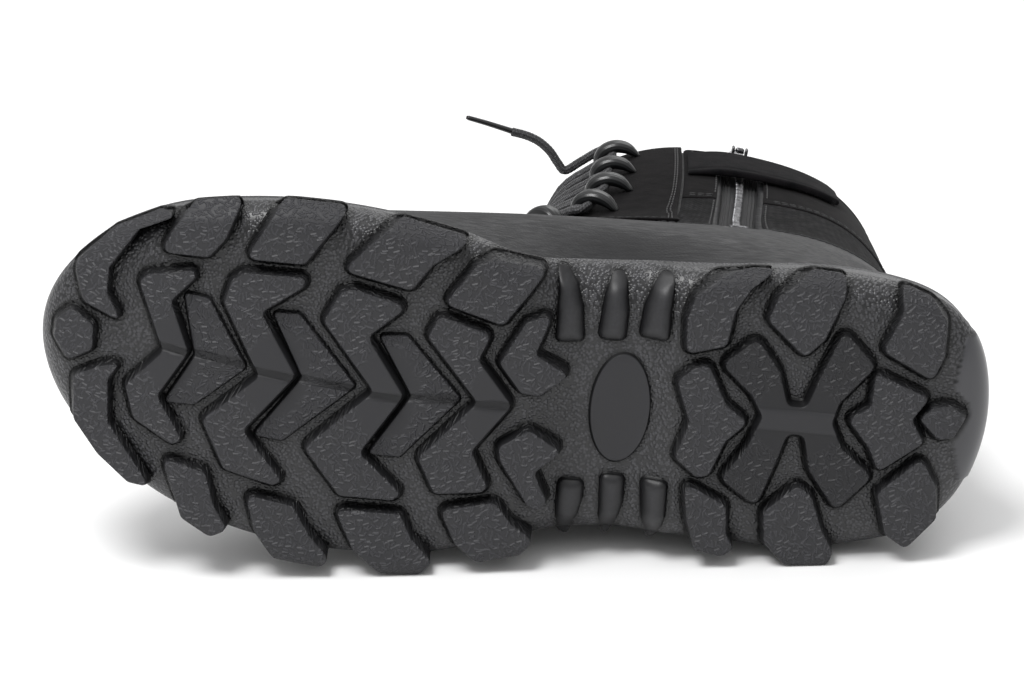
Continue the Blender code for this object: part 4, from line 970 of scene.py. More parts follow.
# The ribs over the arch stand proud of the body and fade into the side wall.
ARCH_RIBS = [
    Lug("rib_medial_1", 2.0, [
        (143.5, 38), (140, 37.3), (136.5, 32), (134, 24.4), (132.6, 13), (142, 12.5), (142.2, 29.2),
    ]),
    Lug("rib_medial_2", 2.5, [
        (125, 37), (120.7, 36.8), (120, 32), (118.8, 24), (119, 14.5), (128, 14.5), (127, 29.2),
    ]),
    Lug("rib_medial_3", 2.0, [
        (108.6, 38.5), (104.6, 38.3), (105, 27.3), (104.8, 16.5), (114.5, 16.5), (113.5, 27), (111, 35),
    ]),
    Lug("rib_lateral_1", 2.5, [
        (136.5, -35.2), (127.7, -35), (127.7, -42), (129, -49), (131, -57.5), (134.5, -56),
        (136.2, -46),
    ]),
    Lug("rib_lateral_2", 2.5, [
        (122.5, -32), (114.2, -32), (114, -42), (115.6, -51), (118.5, -57), (121.2, -50),
    ]),
    Lug("rib_lateral_3", 2.5, [
        (109, -31.5), (100.2, -31.5), (99.7, -44), (101.2, -53), (104, -55), (107.2, -46),
    ]),
]
RIB_EDGE = 1.0  # how far a rib's edge stands proud, and then the height and width of its round back
RIB_BACK = 2.4
RIB_BACK_WIDTH = 4.6

# Low plateaus lie between the chevrons.
PLATEAUS = [
    Lug("plateau_1", 1.5, [
        (265.5, 18), (257, 17), (243, -5), (259.5, -20), (270, -20.5), (260.5, -3),
    ]),
    Lug("plateau_2", 1.5, [
        (236, 15), (227, 15), (206.5, -8), (229.5, -29), (239.5, -28), (224.5, -6.5),
    ]),
    Lug("plateau_3", 1.5, [
        (200.5, 10.5), (191, 11), (171.5, -9), (190, -31), (201, -31), (188, -9.5),
    ]),
]
PLATEAU_PROUD = 2.0

# %% One block
CORNER_POINTS = 7
LUG_OUTLINE = 1.1
LOW_OUTLINE = 0.8
LUG_NET = 1.25
RIB_NET = 1.3
PLATEAU_NET = 2.5
FACE_ROUND = 0.6
FOOT_FILLET = 0.9
LUG_DRAFT = 1.0
SUNK = 2.0
# How much painted shade darkens the floor of a carved channel.
CARVED_SHADE = 0.55


def block_rows(outline, flare, level, root, round_off, fillet):
    """Rows of the profile carried round the outline: a quarter round at the face, a straight side
    that leans out by flare, a hollow quarter round at the foot, and a skirt inside the body."""
    normal = outward(outline)
    face = level(outline)
    height = root - face
    round_off = np.minimum(round_off, 0.3 * height)
    fillet = np.minimum(fillet, 0.3 * height)
    rows = []
    for angle in np.radians([0, 25, 50, 75, 90]):
        inset = -round_off * (1 - math.sin(angle))
        here = level(outline + normal * np.c_[inset])
        rows.append((inset, here + round_off * (1 - math.cos(angle))))
    for share in (0.33, 0.67):
        rows.append((flare * share, face + round_off + (height - round_off - fillet) * share))
    for angle in np.radians([0, 30, 60, 90]):
        out = flare + fillet * (1 - math.cos(angle))
        rows.append((out, root - fillet * (1 - math.sin(angle))))
    rows.append((rows[-1][0], root + SUNK))
    rings = [np.column_stack([outline + normal * np.c_[out], here]) for out, here in rows]
    return np.array(rings)


def block_mesh(rows, levels_in, spacing, creases=(), dim=None):
    """Points, faces and painted shades of a block: the shade painted into its colour is 1 on its face
    and falls to 0 at its foot. Where dim is given, it is a function of plan points that multiplies
    the face's painted shade."""
    count = rows.shape[1]
    net, triangles = fill(rows[0, :, :2], spacing, creases)
    points = np.concatenate([rows.reshape(-1, 3), np.column_stack([net, levels_in(net)])])
    net_start = rows.shape[0] * count
    triangles = np.where(triangles >= count, triangles - count + net_start, triangles)
    under = cap((rows.shape[0] - 1) * count, count)
    # Painted shade: the side walls darken row by row to near black at the foot.
    shade = np.interp(np.arange(rows.shape[0]), [0, 2, 5, 8], [1.0, 0.85, 0.3, 0.0])
    shades = np.concatenate([np.repeat(shade, count), np.ones(len(net))])
    if dim:
        shades = shades * dim(points[:, :2])
    quads = grid_quads(*rows.shape[:2], loop_columns=True)
    return points, quads, np.concatenate([triangles, under]), shades


FACE_MEDIAL = ([-4.0, -1.5, 1.0, 4.0, 8.0], [7.0, 5.5, 2.4, 0.5, 0.0])
FACE_LATERAL = ([-5.0, -3.5, -1.5, 1.0], [3.0, 1.6, 0.4, 0.0])
CLIMB_MEDIAL = 8.0
CLIMB_LATERAL = 11.0


# A shallow channel runs along the middle of the tread, across the chevrons, and a plain band lies
# across the heel's cross. Both have steep sides, so their edges are creases of the mesh.
CHANNEL_LINE = [(290, 2.4), (261.5, -2.1), (225.5, -6.8), (203.5, -9.6), (189.5, -10.3), (150, -9.2)]
CHANNEL_HALF = 1.5
CHANNEL_DEPTH = 0.55
BAND_MIDDLE = -5.5
BAND_HALF = 3.5
ARM_DEPTH = 0.4
STEEP = 0.3


def from_channel(plan):
    s, t = np.array(CHANNEL_LINE[::-1], float).T
    return plan[:, 1] - np.interp(plan[:, 0], s, t)


def channel(plan):
    """How deep the channel is: full depth inside its half width, none a steep side further out."""
    return CHANNEL_DEPTH * (1 - ease(np.abs(from_channel(plan)), CHANNEL_HALF - STEEP, CHANNEL_HALF))


def arms(plan):
    """The cross's arms lie a little lower than the band that joins them."""
    return ARM_DEPTH * ease(np.abs(plan[:, 1] - BAND_MIDDLE), BAND_HALF, BAND_HALF + STEEP)


def cut_at(measure, value):
    return lambda plan: measure(plan) - value


def band_side(plan):
    return plan[:, 1] - BAND_MIDDLE


CHANNEL_CUTS = [
    cut_at(from_channel, side * reach)
    for side in (-1, 1)
    for reach in (CHANNEL_HALF - STEEP, CHANNEL_HALF)
]
BAND_CUTS = [
    cut_at(band_side, side * reach) for side in (-1, 1) for reach in (BAND_HALF, BAND_HALF + STEEP)
]


def face_level(plan):
    """A worn face follows the ground, and rounds up over the edge of the sole."""
    depth = depth_inside(plan)
    medial = plan[:, 1] > middle_line(plan[:, 0])
    rise = np.where(medial, spline(*FACE_MEDIAL, depth), spline(*FACE_LATERAL, depth))
    return ground(plan[:, 0]) + rise


def lug_block(lug):
    """A tread lug. At the sole's edge its foot climbs the side wall instead of the bottom."""
    outline = evenly(rounded(lug.corners, lug.radius, CORNER_POINTS), LUG_OUTLINE)
    carving, cuts = None, ()
    if lug.name.startswith("chevron"):
        carving, cuts = channel, CHANNEL_CUTS
    if lug.name == "heel_cross":
        carving, cuts = arms, BAND_CUTS
    outline, creases = crossed(outline, cuts)

    def level(plan):
        return face_level(plan) + (carving(plan) if carving else 0)

    root = lug_root(outline)
    flare = LUG_DRAFT * (2 * ease(depth_inside(outline), -2, 3) - 1)
    rows = block_rows(outline, flare, level, root, FACE_ROUND, FOOT_FILLET)

    # Painted shade: the floor of the channel, or the cross's lower arms, is darker.
    def dim(plan):
        return 1 - CARVED_SHADE * carving(plan) / CHANNEL_DEPTH

    return block_mesh(rows, level, LUG_NET, creases, dim if carving else None), outline


def lug_root(plan):
    """Level where a lug's side meets the sole's body."""
    depth = depth_inside(plan)
    climb = np.where(plan[:, 1] > middle_line(plan[:, 0]), CLIMB_MEDIAL, CLIMB_LATERAL)
    inside = base_at(plan, depth)
    beside = base(plan[:, 0]) + climb + 1.3 * np.minimum(depth, 0) - 0.5
    return inside + (beside - inside) * (1 - ease(depth, 0.5, 3))


def low_block(lug, proud, round_off, dome=0.0, dome_width=4.0, cuts=()):
    """A rib or plateau: its face stands proud of the body and follows it up the side wall. A dome
    adds a round back, whose height grows from the outline inwards as a quarter circle."""
    outline = evenly(rounded(lug.corners, lug.radius, CORNER_POINTS), LOW_OUTLINE)
    outline, creases = crossed(outline, cuts)

    def level(plan):
        depth = depth_inside(plan)
        back = 1 - np.clip(inset_of(plan, outline) / dome_width, 0, 1)
        high = proud + dome * np.sqrt(1 - back**2) - (channel(plan) if cuts else 0)
        return base_at(plan, depth) - high * (0.15 + 0.85 * ease(depth, 1.5, 9))

    root = base_at(outline, depth_inside(outline))
    rows = block_rows(outline, np.full(len(outline), 0.3), level, root, round_off, 0.4)

    # Painted shade: a domed rib darkens towards its outline, and a channel's floor is darker.
    def dim(plan):
        if dome:
            return 0.25 + 0.75 * ease(inset_of(plan, outline), 0, 0.8 * dome_width)
        return 1 - CARVED_SHADE * channel(plan) / CHANNEL_DEPTH

    net = RIB_NET if dome else PLATEAU_NET
    return block_mesh(rows, level, net, creases, dim if dome or cuts else None), outline


def join_blocks(name, blocks, finish):
    """Many blocks as one piece, with their painted shades kept as an attribute."""
    points, faces = joined([block[:3] for block in blocks])
    piece = mesh_piece(name, points, faces)
    keep_values(piece, "shade", np.concatenate([block[3] for block in blocks]))
    keep_values(piece, "etched", etched_share(points))
    keep_plan(piece, points)
    fit_out(piece, finish)
    return piece


def etched_share(points):
    """Where the faces carry strokes: all but the middle of the chevrons and of the heel's cross,
    which are smooth. Each smooth zone is an ellipse, given by its centre and half sizes."""
    found = np.ones(len(points))
    for s, t, half_s, half_t in SMOOTH_ZONES:
        reach = np.hypot((points[:, 0] - s) / half_s, (points[:, 1] - t) / half_t)
        found = np.minimum(found, ease(reach, 0.92, 1.08))
    return found


def keep_plan(piece, points):
    """A UV map of s and t in metres, so that a pattern lies flat on the tread. Where the tread
    curls up over the edge of the sole, its height counts as distance across as well."""
    side = np.sign(points[:, 1] - middle_line(points[:, 0]))
    across = points[:, 1] + side * (points[:, 2] - ground(points[:, 0]))
    chart = np.column_stack([points[:, 0], across]) * MM
    keep_chart(piece, "plan", chart[corner_points(piece)])


# %% All the blocks
OVAL_PROUD = 1.1
OVAL_POINTS = 90
OVAL_CENTRE = np.array([118.3, -8.8])
OVAL_HALF = np.array([9.8, 18.6])
FAR_MM = 9.0

# Smooth zones of the tread: centre s and t, half sizes along s and t.
SMOOTH_ZONES = [
    (268, -3, 9, 13),
    (233, -6, 11, 15),
    (196, -9, 11, 16),
    (160, -10, 10, 15),
    (60, -5, 15, 13),
    (*OVAL_CENTRE, 12, 21),
]


def make_tread():
    lugs = [lug_block(lug) for lug in EDGE_LUGS + INNER_LUGS]
    ribs = [low_block(rib, RIB_EDGE, 0.4, RIB_BACK, RIB_BACK_WIDTH) for rib in ARCH_RIBS]
    low = [low_block(lug, PLATEAU_PROUD, 0.5, cuts=CHANNEL_CUTS) for lug in PLATEAUS]
    turn = circle(OVAL_POINTS)
    ellipse = OVAL_CENTRE + OVAL_HALF * np.stack([np.cos(turn), np.sin(turn)], -1)
    low.append(low_block(Lug("oval", 0.1, ellipse), OVAL_PROUD, 0.4))
    pieces = [
        join_blocks("tread_lugs", [block for block, _ in lugs], ETCHED),
        join_blocks("arch_ribs", [block for block, _ in ribs], POLISHED),
        join_blocks("low_plateaus", [block for block, _ in low], ETCHED),
    ]
    return pieces, [outline for _, outline in lugs], [outline for _, outline in ribs + low]


def beside_blocks(points, tall, low):
    """How open the body lies, from 0 in the corner at a block's foot to 1 a few millimetres away; the
    pebbled rubber paints shade near black where it is 0. On the side wall the height above a lug's
    foot counts as distance too. Along the heel bumper's edge it dips to paint a dark line of shade."""
    nearest = np.full(len(points), FAR_MM)
    for outlines, foot in ((tall, LUG_DRAFT + FOOT_FILLET), (low, 0.5)):
        for outline in outlines:
            low_corner, high_corner = outline.min(0) - FAR_MM, outline.max(0) + FAR_MM
            in_box = (points[:, :2] > low_corner) & (points[:, :2] < high_corner)
            near = np.flatnonzero(in_box.all(1))
            away = -inset_of(points[near, :2], outline) - foot
            if foot > 1:
                away = np.maximum(away, points[near, 2] - lug_root(points[near, :2]) - 1.0)
            nearest[near] = np.minimum(nearest[near], away)
    # Painted shade: a dark line along the heel bumper's zigzag edge.
    groove = 4 * bumper(points) * (1 - bumper(points))
    return ease(nearest, -0.3, 1.5) * (1 - groove)


(tread_lugs, arch_ribs, low_plateaus), tall_outlines, low_outlines = make_tread()
# The body's painted shade, near the blocks' feet and along the bumper's edge.
keep_values(sole_body, "open", beside_blocks(sole_points, tall_outlines, low_outlines))
keep_values(sole_body, "plain", bumper(sole_points))
tread_faces = [len(piece.data.polygons) for piece in (tread_lugs, arch_ribs, low_plateaus)]
print("tread:", tread_faces, "faces")

# %% [markdown]
# ## The upper
#
# The leather upper is pulled over a last, so its outer surface is one smooth function of two
# parameters: a level, from the edge on the footbed up to the collar, and a girth, from the heel
# round the inner side to the front and back. The rows of a table give its half widths, and lines up
# the boot say where the zip, the panel and the throat run.

# %% Last tables
Section = namedtuple("Section", "back_s back_h front_s front_h heel waist ball toe flare")
SECTIONS = [
    Section(1.5, 50, 304, 50, 38.0, 46.0, 43.5, 30.0, 8),
    Section(3.0, 70, 289, 67, 37.0, 44.5, 40.0, 28.5, 6),
    Section(6.0, 88, 258, 79, 34.5, 41.5, 37.0, 26.5, 3),
    Section(9.5, 106, 206, 90, 31.5, 39.0, 33.0, 20.5, 0),
    Section(11.5, 124, 169, 106, 29.8, 39.0, 34.0, 20.0, 0),
    Section(12.0, 142, 154, 127, 29.2, 39.5, 36.5, 22.0, 0),
    Section(12.0, 160, 147, 152, 29.0, 40.5, 39.0, 23.0, 0),
    Section(12.0, 182, 143, 180, 28.5, 41.0, 40.5, 23.5, 0),
    Section(12.5, 205, 140.5, 206, 28.0, 41.0, 40.7, 23.5, 0),
    Section(13.0, 222, 136.5, 219, 27.5, 41.0, 39.5, 22.0, 0),
]
WIDTH_TURN = np.radians([0, 40, 80, 115, 150, 180])
CENTRE_LINE = -3.0
FIT = 0.8
WAIST_FIT = 1.6
WALL = 2.4

ZIP_FOOT = 4.1
THROAT_FOOT = 5.5
COLLAR = 10.0
TONGUE_TOP = 11.0
ZIP_SLOT = 14.0
ZIP_GIRTH = (0.36, 0.44)
PANEL_GIRTH = 0.53
THROAT_GIRTH = 0.78
ZIP_LINE = [78, 78, 78, 78, 78, 77.5, 76.5, 74.5, 72.5, 71, 70, 70]
PANEL_LINE = [135, 135, 130, 122, 114, 106, 99, 96.5, 94.5, 93, 92, 91]
THROAT_LINE = [285, 285, 275, 262, 235, 197, 152, 135, 130.5, 127.5, 124.5, 122]

# %% The upper's surface


def section_rows(turn):
    """Every row of the last read at the same turns. A half width is the sine of the turn times a
    spline through the row's widths."""
    plan_turn = np.minimum(turn, 2 * math.pi - turn)
    ahead = (1 - np.cos(plan_turn)) / 2
    outer = np.where(turn > math.pi, -1.0, 1.0)
    along = sole_edge(turn)[:, 0]
    fit = FIT + WAIST_FIT * ease(along, 95, 115) * (1 - ease(along, 170, 195))
    feather = sole_ring(turn, rim_inset(turn) + RIM_WIDTH + FOOTBED_FILLET + fit)
    rim = sole_ring(turn, rim_inset(turn) + RIM_WIDTH + fit)
    rows = [
        np.column_stack([feather, footbed(feather[:, 0]) + FIT]),
        np.column_stack([rim, rim_level(turn) + 0.5]),
    ]
    for row in SECTIONS:
        widths = np.array([row.heel, row.heel, row.waist, row.ball, row.toe, row.toe])
        widths = widths / np.sin(WIDTH_TURN[[1, 1, 2, 3, 4, 4]])
        half = np.sin(plan_turn) * spline(WIDTH_TURN, widths, plan_turn)
        flare = row.flare * ease(ahead, 0.35, 0.7) * (1 - ease(ahead, 0.8, 1))
        half = half + np.where(turn > math.pi, flare, 0)
        s = row.back_s + (row.front_s - row.back_s) * ahead
        h = row.back_h + (row.front_h - row.back_h) * ahead
        rows.append(np.column_stack([s, CENTRE_LINE + outer * half, h]))
    return np.array(rows)


def turn_at(level, girth):
    """The turn of a girth, set so that the zip, the panel and the throat keep to their lines."""
    index = np.arange(len(SECTIONS) + 2)
    back = spline(index, [0, 0] + [row.back_s for row in SECTIONS], level)
    front = spline(index, [309, 309] + [row.front_s for row in SECTIONS], level)
    centre = spline(index, ZIP_LINE, level)
    passed = [centre - ZIP_SLOT / 2, centre + ZIP_SLOT / 2]
    passed += [spline(index, line, level) for line in (PANEL_LINE, THROAT_LINE)]
    girths = [0, *ZIP_GIRTH, PANEL_GIRTH, THROAT_GIRTH, 1]
    turns = [np.arccos(1 - 2 * (s - back) / (front - back)) for s in passed]
    turns = [np.zeros_like(level), *turns, np.full_like(level, math.pi)]
    half = np.minimum(girth, 2 - girth)
    found = np.zeros_like(half)
    for low, high, start, end in zip(girths[:-1], girths[1:], turns[:-1], turns[1:]):
        share = np.clip((half - low) / (high - low), 0, 1)
        found = np.where(half >= low, start + (end - start) * share, found)
    return np.where(girth > 1, 2 * math.pi - found, found)


def upper_point(level, girth):
    """The upper's outer surface: a spline up the boot through the rows, read at each turn."""
    level, girth = np.broadcast_arrays(np.asarray(level, float), np.mod(np.asarray(girth, float), 2))
    shape = level.shape
    level = level.ravel()
    rows = section_rows(turn_at(level, girth.ravel()))
    share = spline(np.arange(len(rows)), np.eye(len(rows)), level)
    return np.einsum("pr,rpc->pc", share, rows).reshape(*shape, 3)


def upper_frame(level, girth):
    """Point, outward normal, direction towards the front and direction up the wall, from small
    steps along both parameters."""
    step = 0.004
    girth = np.asarray(girth, float)
    top = np.minimum(np.asarray(level, float) + step, TONGUE_TOP)
    up = upper_point(top, girth) - upper_point(top - 2 * step, girth)
    turned = np.where(girth > 1, -1.0, 1.0)[..., None]
    ahead = (upper_point(level, girth + step) - upper_point(level, girth - step)) * turned
    normal = unit(np.cross(ahead, up) * -turned)
    ahead = unit(ahead)
    return upper_point(level, girth), normal, ahead, np.cross(ahead, normal) * turned


def on_upper(level, girth, offset):
    level, girth, offset = np.broadcast_arrays(*map(np.asarray, (level, girth, offset)))
    point, normal, _, _ = upper_frame(level, girth)
    return point + normal * offset[..., None]


def spaced(*stops):
    """Values from stop to stop, each stop given with the number of steps to the next."""
    parts = [np.linspace(a, b, count, endpoint=False) for a, count, b in stops]
    return np.concatenate([*parts, [stops[-1][2]]])


HALF_GIRTH = spaced(
    (0, 36, ZIP_GIRTH[0]),
    (ZIP_GIRTH[0], 8, ZIP_GIRTH[1]),
    (ZIP_GIRTH[1], 12, PANEL_GIRTH),
    (PANEL_GIRTH, 32, THROAT_GIRTH),
    (THROAT_GIRTH, 32, 1),
)
GIRTHS = np.concatenate([HALF_GIRTH, 2 - HALF_GIRTH[-2:0:-1]])
LEVELS = spaced((0, 8, 1), (1, 44, ZIP_FOOT), (ZIP_FOOT, 20, THROAT_FOOT), (THROAT_FOOT, 64, COLLAR))


LEATHER_TOP = 4.62
THROAT_LEATHER_TOP = 5.62
UNDER_PANELS = -0.9


def leather_top(girth):
    """The smooth leather's top line: a little higher at the heel, and rising towards the throat."""
    half = np.minimum(np.mod(girth, 2), 2 - np.mod(girth, 2))
    top = LEATHER_TOP + 0.35 * bump(half, 0.0, 0.3)
    return top + (THROAT_LEATHER_TOP - LEATHER_TOP) * ease(half, 0.5, 0.56)


# The main creases: (level, girth) of one end, of the other, half width in mm and depth in mm.
CREASES = [
    ((3.2, 0.88), (3.0, 1.12), 4.5, 1.0),
    ((3.9, 0.84), (3.75, 1.16), 5.0, 1.1),
    ((4.7, 0.62), (4.4, 0.78), 4.0, 0.6),
    ((4.7, 1.38), (4.4, 1.22), 4.0, 0.6),
    ((2.6, 0.8), (2.2, 0.9), 4.0, 0.4),
    ((2.6, 1.2), (2.2, 1.1), 4.0, 0.4),
]
LEVEL_MM = 19.0
GIRTH_MM = 190.0


def creases(level, girth):
    """Soft troughs with low ridges beside them: along each, a wave of the distance from its middle
    line that has a trough in the middle and fades at its ends."""
    total = np.zeros(np.broadcast(level, girth).shape)
    for (level_a, girth_a), (level_b, girth_b), half_width, depth in CREASES:
        start = np.array([level_a * LEVEL_MM, girth_a * GIRTH_MM])
        run = np.array([level_b * LEVEL_MM, girth_b * GIRTH_MM]) - start
        length = np.linalg.norm(run)
        run = run / length
        x, y = level * LEVEL_MM - start[0], np.mod(girth, 2) * GIRTH_MM - start[1]
        along, away = x * run[0] + y * run[1], x * run[1] - y * run[0]
        fade = ease(along, 0, 0.3 * length) * (1 - ease(along, 0.7 * length, length))
        away = away / half_width
        total = total - depth * fade * (1 - 1.5 * away**2) * np.exp(-(away**2))
    return total


def upper_relief(level, girth):
    """How far the surface stands out from the plain last. Above the smooth leather's top line the
    wall is thinner, because the panels lie there."""
    under = ease(level - leather_top(girth), 0, 0.12)
    return UNDER_PANELS * under + creases(level, girth) * (1 - under)


def shell_mesh(level, girth, outer, inner, keep):
    """A wall with a thickness: two grids at offsets outer and inner, joined by a strip wherever a
    kept cell borders on a cell that is cut out or on the grid's end. keep says which cells stay."""
    rows, columns = len(level), len(girth)
    grids = [on_upper(level[:, None], girth[None, :], offset) for offset in (outer, inner)]
    points = np.concatenate([grid.reshape(-1, 3) for grid in grids])
    closed = keep.shape[1] == columns
    quads = grid_quads(rows, columns, loop_columns=closed)[keep.ravel()]
    ends = np.concatenate([quads[:, [k, (k + 1) % 4]] for k in range(4)])
    key = np.sort(ends, axis=1)
    _, first, times = np.unique(key, axis=0, return_index=True, return_counts=True)
    behind, ahead = ends[first[times == 1]].T
    inner_start = rows * columns
    strip = np.stack([ahead, behind, behind + inner_start, ahead + inner_start], -1)
    faces = np.concatenate([quads, quads[:, ::-1] + inner_start, strip])
    used = np.unique(faces)
    renumber = np.zeros(len(points), int)
    renumber[used] = np.arange(len(used))
    return points[used], renumber[faces]


def make_upper():
    level, girth = LEVELS[:-1], (GIRTHS + np.append(GIRTHS[1:], 2)) / 2
    beside_zip = (girth > ZIP_GIRTH[0]) & (girth < ZIP_GIRTH[1])
    zip_slot = (level >= ZIP_FOOT - 1e-6)[:, None] & beside_zip
    front = (girth > THROAT_GIRTH) & (girth < 2 - THROAT_GIRTH)
    keep = ~zip_slot & ~((level >= THROAT_FOOT - 1e-6)[:, None] & front)
    relief = upper_relief(LEVELS[:, None], GIRTHS[None, :])
    points, faces = shell_mesh(LEVELS, GIRTHS, relief, -WALL, keep)
    upper = mesh_piece("upper_leather", points, [faces])
    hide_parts("upper")
    return upper


upper = make_upper()
print("upper:", len(upper.data.polygons), "faces")

# %% [markdown]
# ## Finishes of the upper
#
# The lower part is smooth full-grain leather, brushed lengthwise, so it carries fine streaks. The
# shaft's panels, the facings and the strap are nubuck: leather whose grain side is sanded to a
# short nap, which looks dull and cloudy and is lighter at a glancing angle, as sheen gives it. The
# quarters are a thick knitted nylon, whose loops show as small knobs in rows.

# %% Upper finishes


def leather_smooth():
    """Brushed grain: streaks run along the boot, and clouds of polish lie over them."""
    looks = {"specular_ior_level": 0.28}
    made, tree = new_material("full_grain_leather_brushed", "#151517", 0.55, **looks)
    where = object_space(tree)
    inputs = {"Vector": object_space(tree, (0.06, 1, 1)), "Scale": per_mm(0.9), "Detail": 4}
    streaks = add_node(tree, "TexNoise", inputs)
    clouds = add_node(tree, "TexNoise", {"Vector": where, "Scale": per_mm(14), "Detail": 4})
    clouds = add_node(tree, "MapRange", [clouds, 0.35, 0.7])
    colour = add_node(tree, "Mix", {0: clouds, 6: "#121214", 7: "#1b1b1d"}, 2, data_type="RGBA")
    gloss = add_node(tree, "MapRange", [streaks, 0.3, 0.7, 0.42, 0.62])
    return surface(made, [(streaks, 0.05), (pebbles(tree, where, 0.8), 0.05)], colour, gloss)


def nubuck(name="nubuck_sanded", colour="#070607", light="#131112"):
    """A short nap: fine noise for the fibres, and clouds where they lie the other way."""
    looks = {"sheen_weight": 0.03, "specular_ior_level": 0.08}
    made, tree = new_material(name, colour, 0.95, **looks)
    where = object_space(tree)
    nap = add_node(tree, "TexNoise", {"Vector": where, "Scale": per_mm(0.7), "Detail": 6})
    clouds = add_node(tree, "TexNoise", {"Vector": where, "Scale": per_mm(6), "Detail": 6})
    clouds = add_node(tree, "MapRange", [clouds, 0.35, 0.72])
    colour = add_node(tree, "Mix", {0: clouds, 6: colour, 7: light}, 2, data_type="RGBA")
    return surface(made, [(clouds, 0.12), (nap, 0.22)], colour)


def knit():
    """Loops in rows: the height is half plus a quarter of the sum of two sine waves, one across
    the wales and shifted from row to row, the other twice a row."""
    looks = {"sheen_weight": 0.02, "specular_ior_level": 0.15}
    made, tree = new_material("nylon_knit_padded", "#161618", 0.9, **looks)
    cloth = add_node(tree, "UVMap", uv_map="cloth")
    axes = add_node(tree, "SeparateXYZ", [cloth]).node.outputs
    waves = [2 * math.pi / (size * MM) for size in (KNIT_WALE_MM, KNIT_ROW_MM)]
    wales = add_node(tree, "Math", [axes[0], waves[0]], operation="MULTIPLY")
    rows = add_node(tree, "Math", [axes[1], waves[1]], operation="MULTIPLY")
    shift = add_node(tree, "Math", [rows], operation="SINE")
    shift = add_node(tree, "Math", [shift, 0.9], operation="MULTIPLY")
    loops = add_node(tree, "Math", [wales, shift], operation="ADD")
    loops = add_node(tree, "Math", [loops], operation="SINE")
    beats = add_node(tree, "Math", [rows, 2.0], operation="MULTIPLY")
    beats = add_node(tree, "Math", [beats], operation="SINE")
    height = add_node(tree, "Math", [loops, beats], operation="ADD")
    height = add_node(tree, "Math", [height, 0.25, 0.5], operation="MULTIPLY_ADD")
    where = object_space(tree)
    clouds = add_node(tree, "TexNoise", {"Vector": where, "Scale": per_mm(3.5), "Detail": 5})
    clouds = add_node(tree, "MapRange", [clouds, 0.4, 0.65])
    # Painted shade: the colour darkens to near black in the low parts of the knit between its loops,
    # over clouds of random tone.
    share = add_node(tree, "Math", [height, clouds], operation="MULTIPLY")
    colour = add_node(tree, "Mix", {0: share, 6: "#050506", 7: "#2a292b"}, 2, data_type="RGBA")
    fuzz = add_node(tree, "TexNoise", {"Vector": where, "Scale": per_mm(0.5), "Detail": 4})
    return surface(made, [(height, 0.5), (fuzz, 0.15)], colour)


KNIT_WALE_MM = 2.2
KNIT_ROW_MM = 2.6
LEATHER, NUBUCK, KNIT = leather_smooth(), nubuck(), knit()
STRAP_NUBUCK = nubuck("nubuck_strap", "#08080a", "#171517")
THREAD = new_material("polyester_thread", "#131315", 0.6, sheen_weight=0.1)[0]
dress(upper, LEATHER)

# %% [markdown]
# ## Panels
#
# A cut panel is a thin body that lies on the upper: two skins at two heights over it, that come
# together in a round edge. Its level and girth are functions of two shares that run from 0 to 1
# across it, with extra rows near the edges so that the edge can be round.

# %% Panel maker


def edge_shares(count):
    """Shares from 0 to 1 that crowd together at both ends."""
    start, end = [0, 0.003, 0.008, 0.016], [0.984, 0.992, 0.997, 1]
    return np.concatenate([start, np.linspace(0.03, 0.97, count), end])


def border_distance(grid):
    """Distance in mm from each point of a grid to the nearest of its borders, along the grid."""
    across = np.linalg.norm(np.diff(grid, axis=1), axis=2)
    along = np.linalg.norm(np.diff(grid, axis=0), axis=2)
    left = np.concatenate([np.zeros((len(grid), 1)), np.cumsum(across, 1)], 1)
    low = np.concatenate([np.zeros((1, grid.shape[1])), np.cumsum(along, 0)], 0)
    return np.minimum(np.minimum(left, left[:, -1:] - left), np.minimum(low, low[-1:] - low))


def closed_skins(top, bottom):
    """Two grids of one size as one closed body, joined by a strip round their border."""
    rows, columns = top.shape[:2]
    total = rows * columns
    upper_quads = grid_quads(rows, columns)
    border = [*range(columns - 1), *range(columns - 1, total - 1, columns)]
    border += [*range(total - 1, total - columns, -1), *range(total - columns, 0, -columns)]
    here = np.array(border)
    after = np.roll(here, -1)
    strip = np.stack([here, here + total, after + total, after], -1)
    faces = np.concatenate([upper_quads, upper_quads[:, ::-1] + total, strip])
    return np.concatenate([top.reshape(-1, 3), bottom.reshape(-1, 3)]), faces


def panel(name, level, girth, inner, outer, finish, slot, round_off=0.7, drift=None):
    """level and girth are grids; inner and outer are heights over the upper, numbers or grids."""
    level, girth = np.broadcast_arrays(level, girth)
    reach = np.clip(border_distance(on_upper(level, girth, 0.0)) / round_off, 0, 1)
    full = 0.3 + 0.7 * np.sqrt(reach * (2 - reach))
    middle, half = (outer + inner) / 2, (outer - inner) / 2
    skins = [on_upper(level, girth, middle + side * half * full) for side in (1, -1)]
    if drift is not None:
        skins = [skin + drift for skin in skins]
    points, faces = closed_skins(*skins)
    piece = mesh_piece(name, points, [faces])
    cloth = np.column_stack([girth.ravel() * HALF_ROUND_MM, skins[0][..., 2].ravel()])
    chart = np.concatenate([cloth, cloth]) * MM
    keep_chart(piece, "cloth", chart[corner_points(piece)])
    fit_out(piece, finish)
    return piece


def between(shares, start, end):
    return start + (end - start) * shares


# %% [markdown]
# ## Quarters, facings and tongue
#
# The knit fills the quarters between the smooth leather below and the nubuck band at the collar.
# The band laps over the knit, and the two facings that carry the lace loops lap over both.

# %% Shaft panels
HALF_ROUND_MM = 190.0
KNIT_FOOT = 4.55
BAND_FOOT = 7.15
BAND_TOP = 9.95
SET_IN = -0.95
KNIT_HEIGHT = -0.1
BAND_HEIGHT = 0.28

# Each panel runs from one girth to another; the heel is 0 and the outer side is negative.
QUARTERS = [("rear", -0.525, 0.352), ("zip_side", 0.448, 0.525)]


def lap_line(girth, level, dip):
    """Where the band laps over the knit: it dips at the heel, and the leather below does the same."""
    return level + dip * bump(np.abs(girth), 0.0, 0.3)


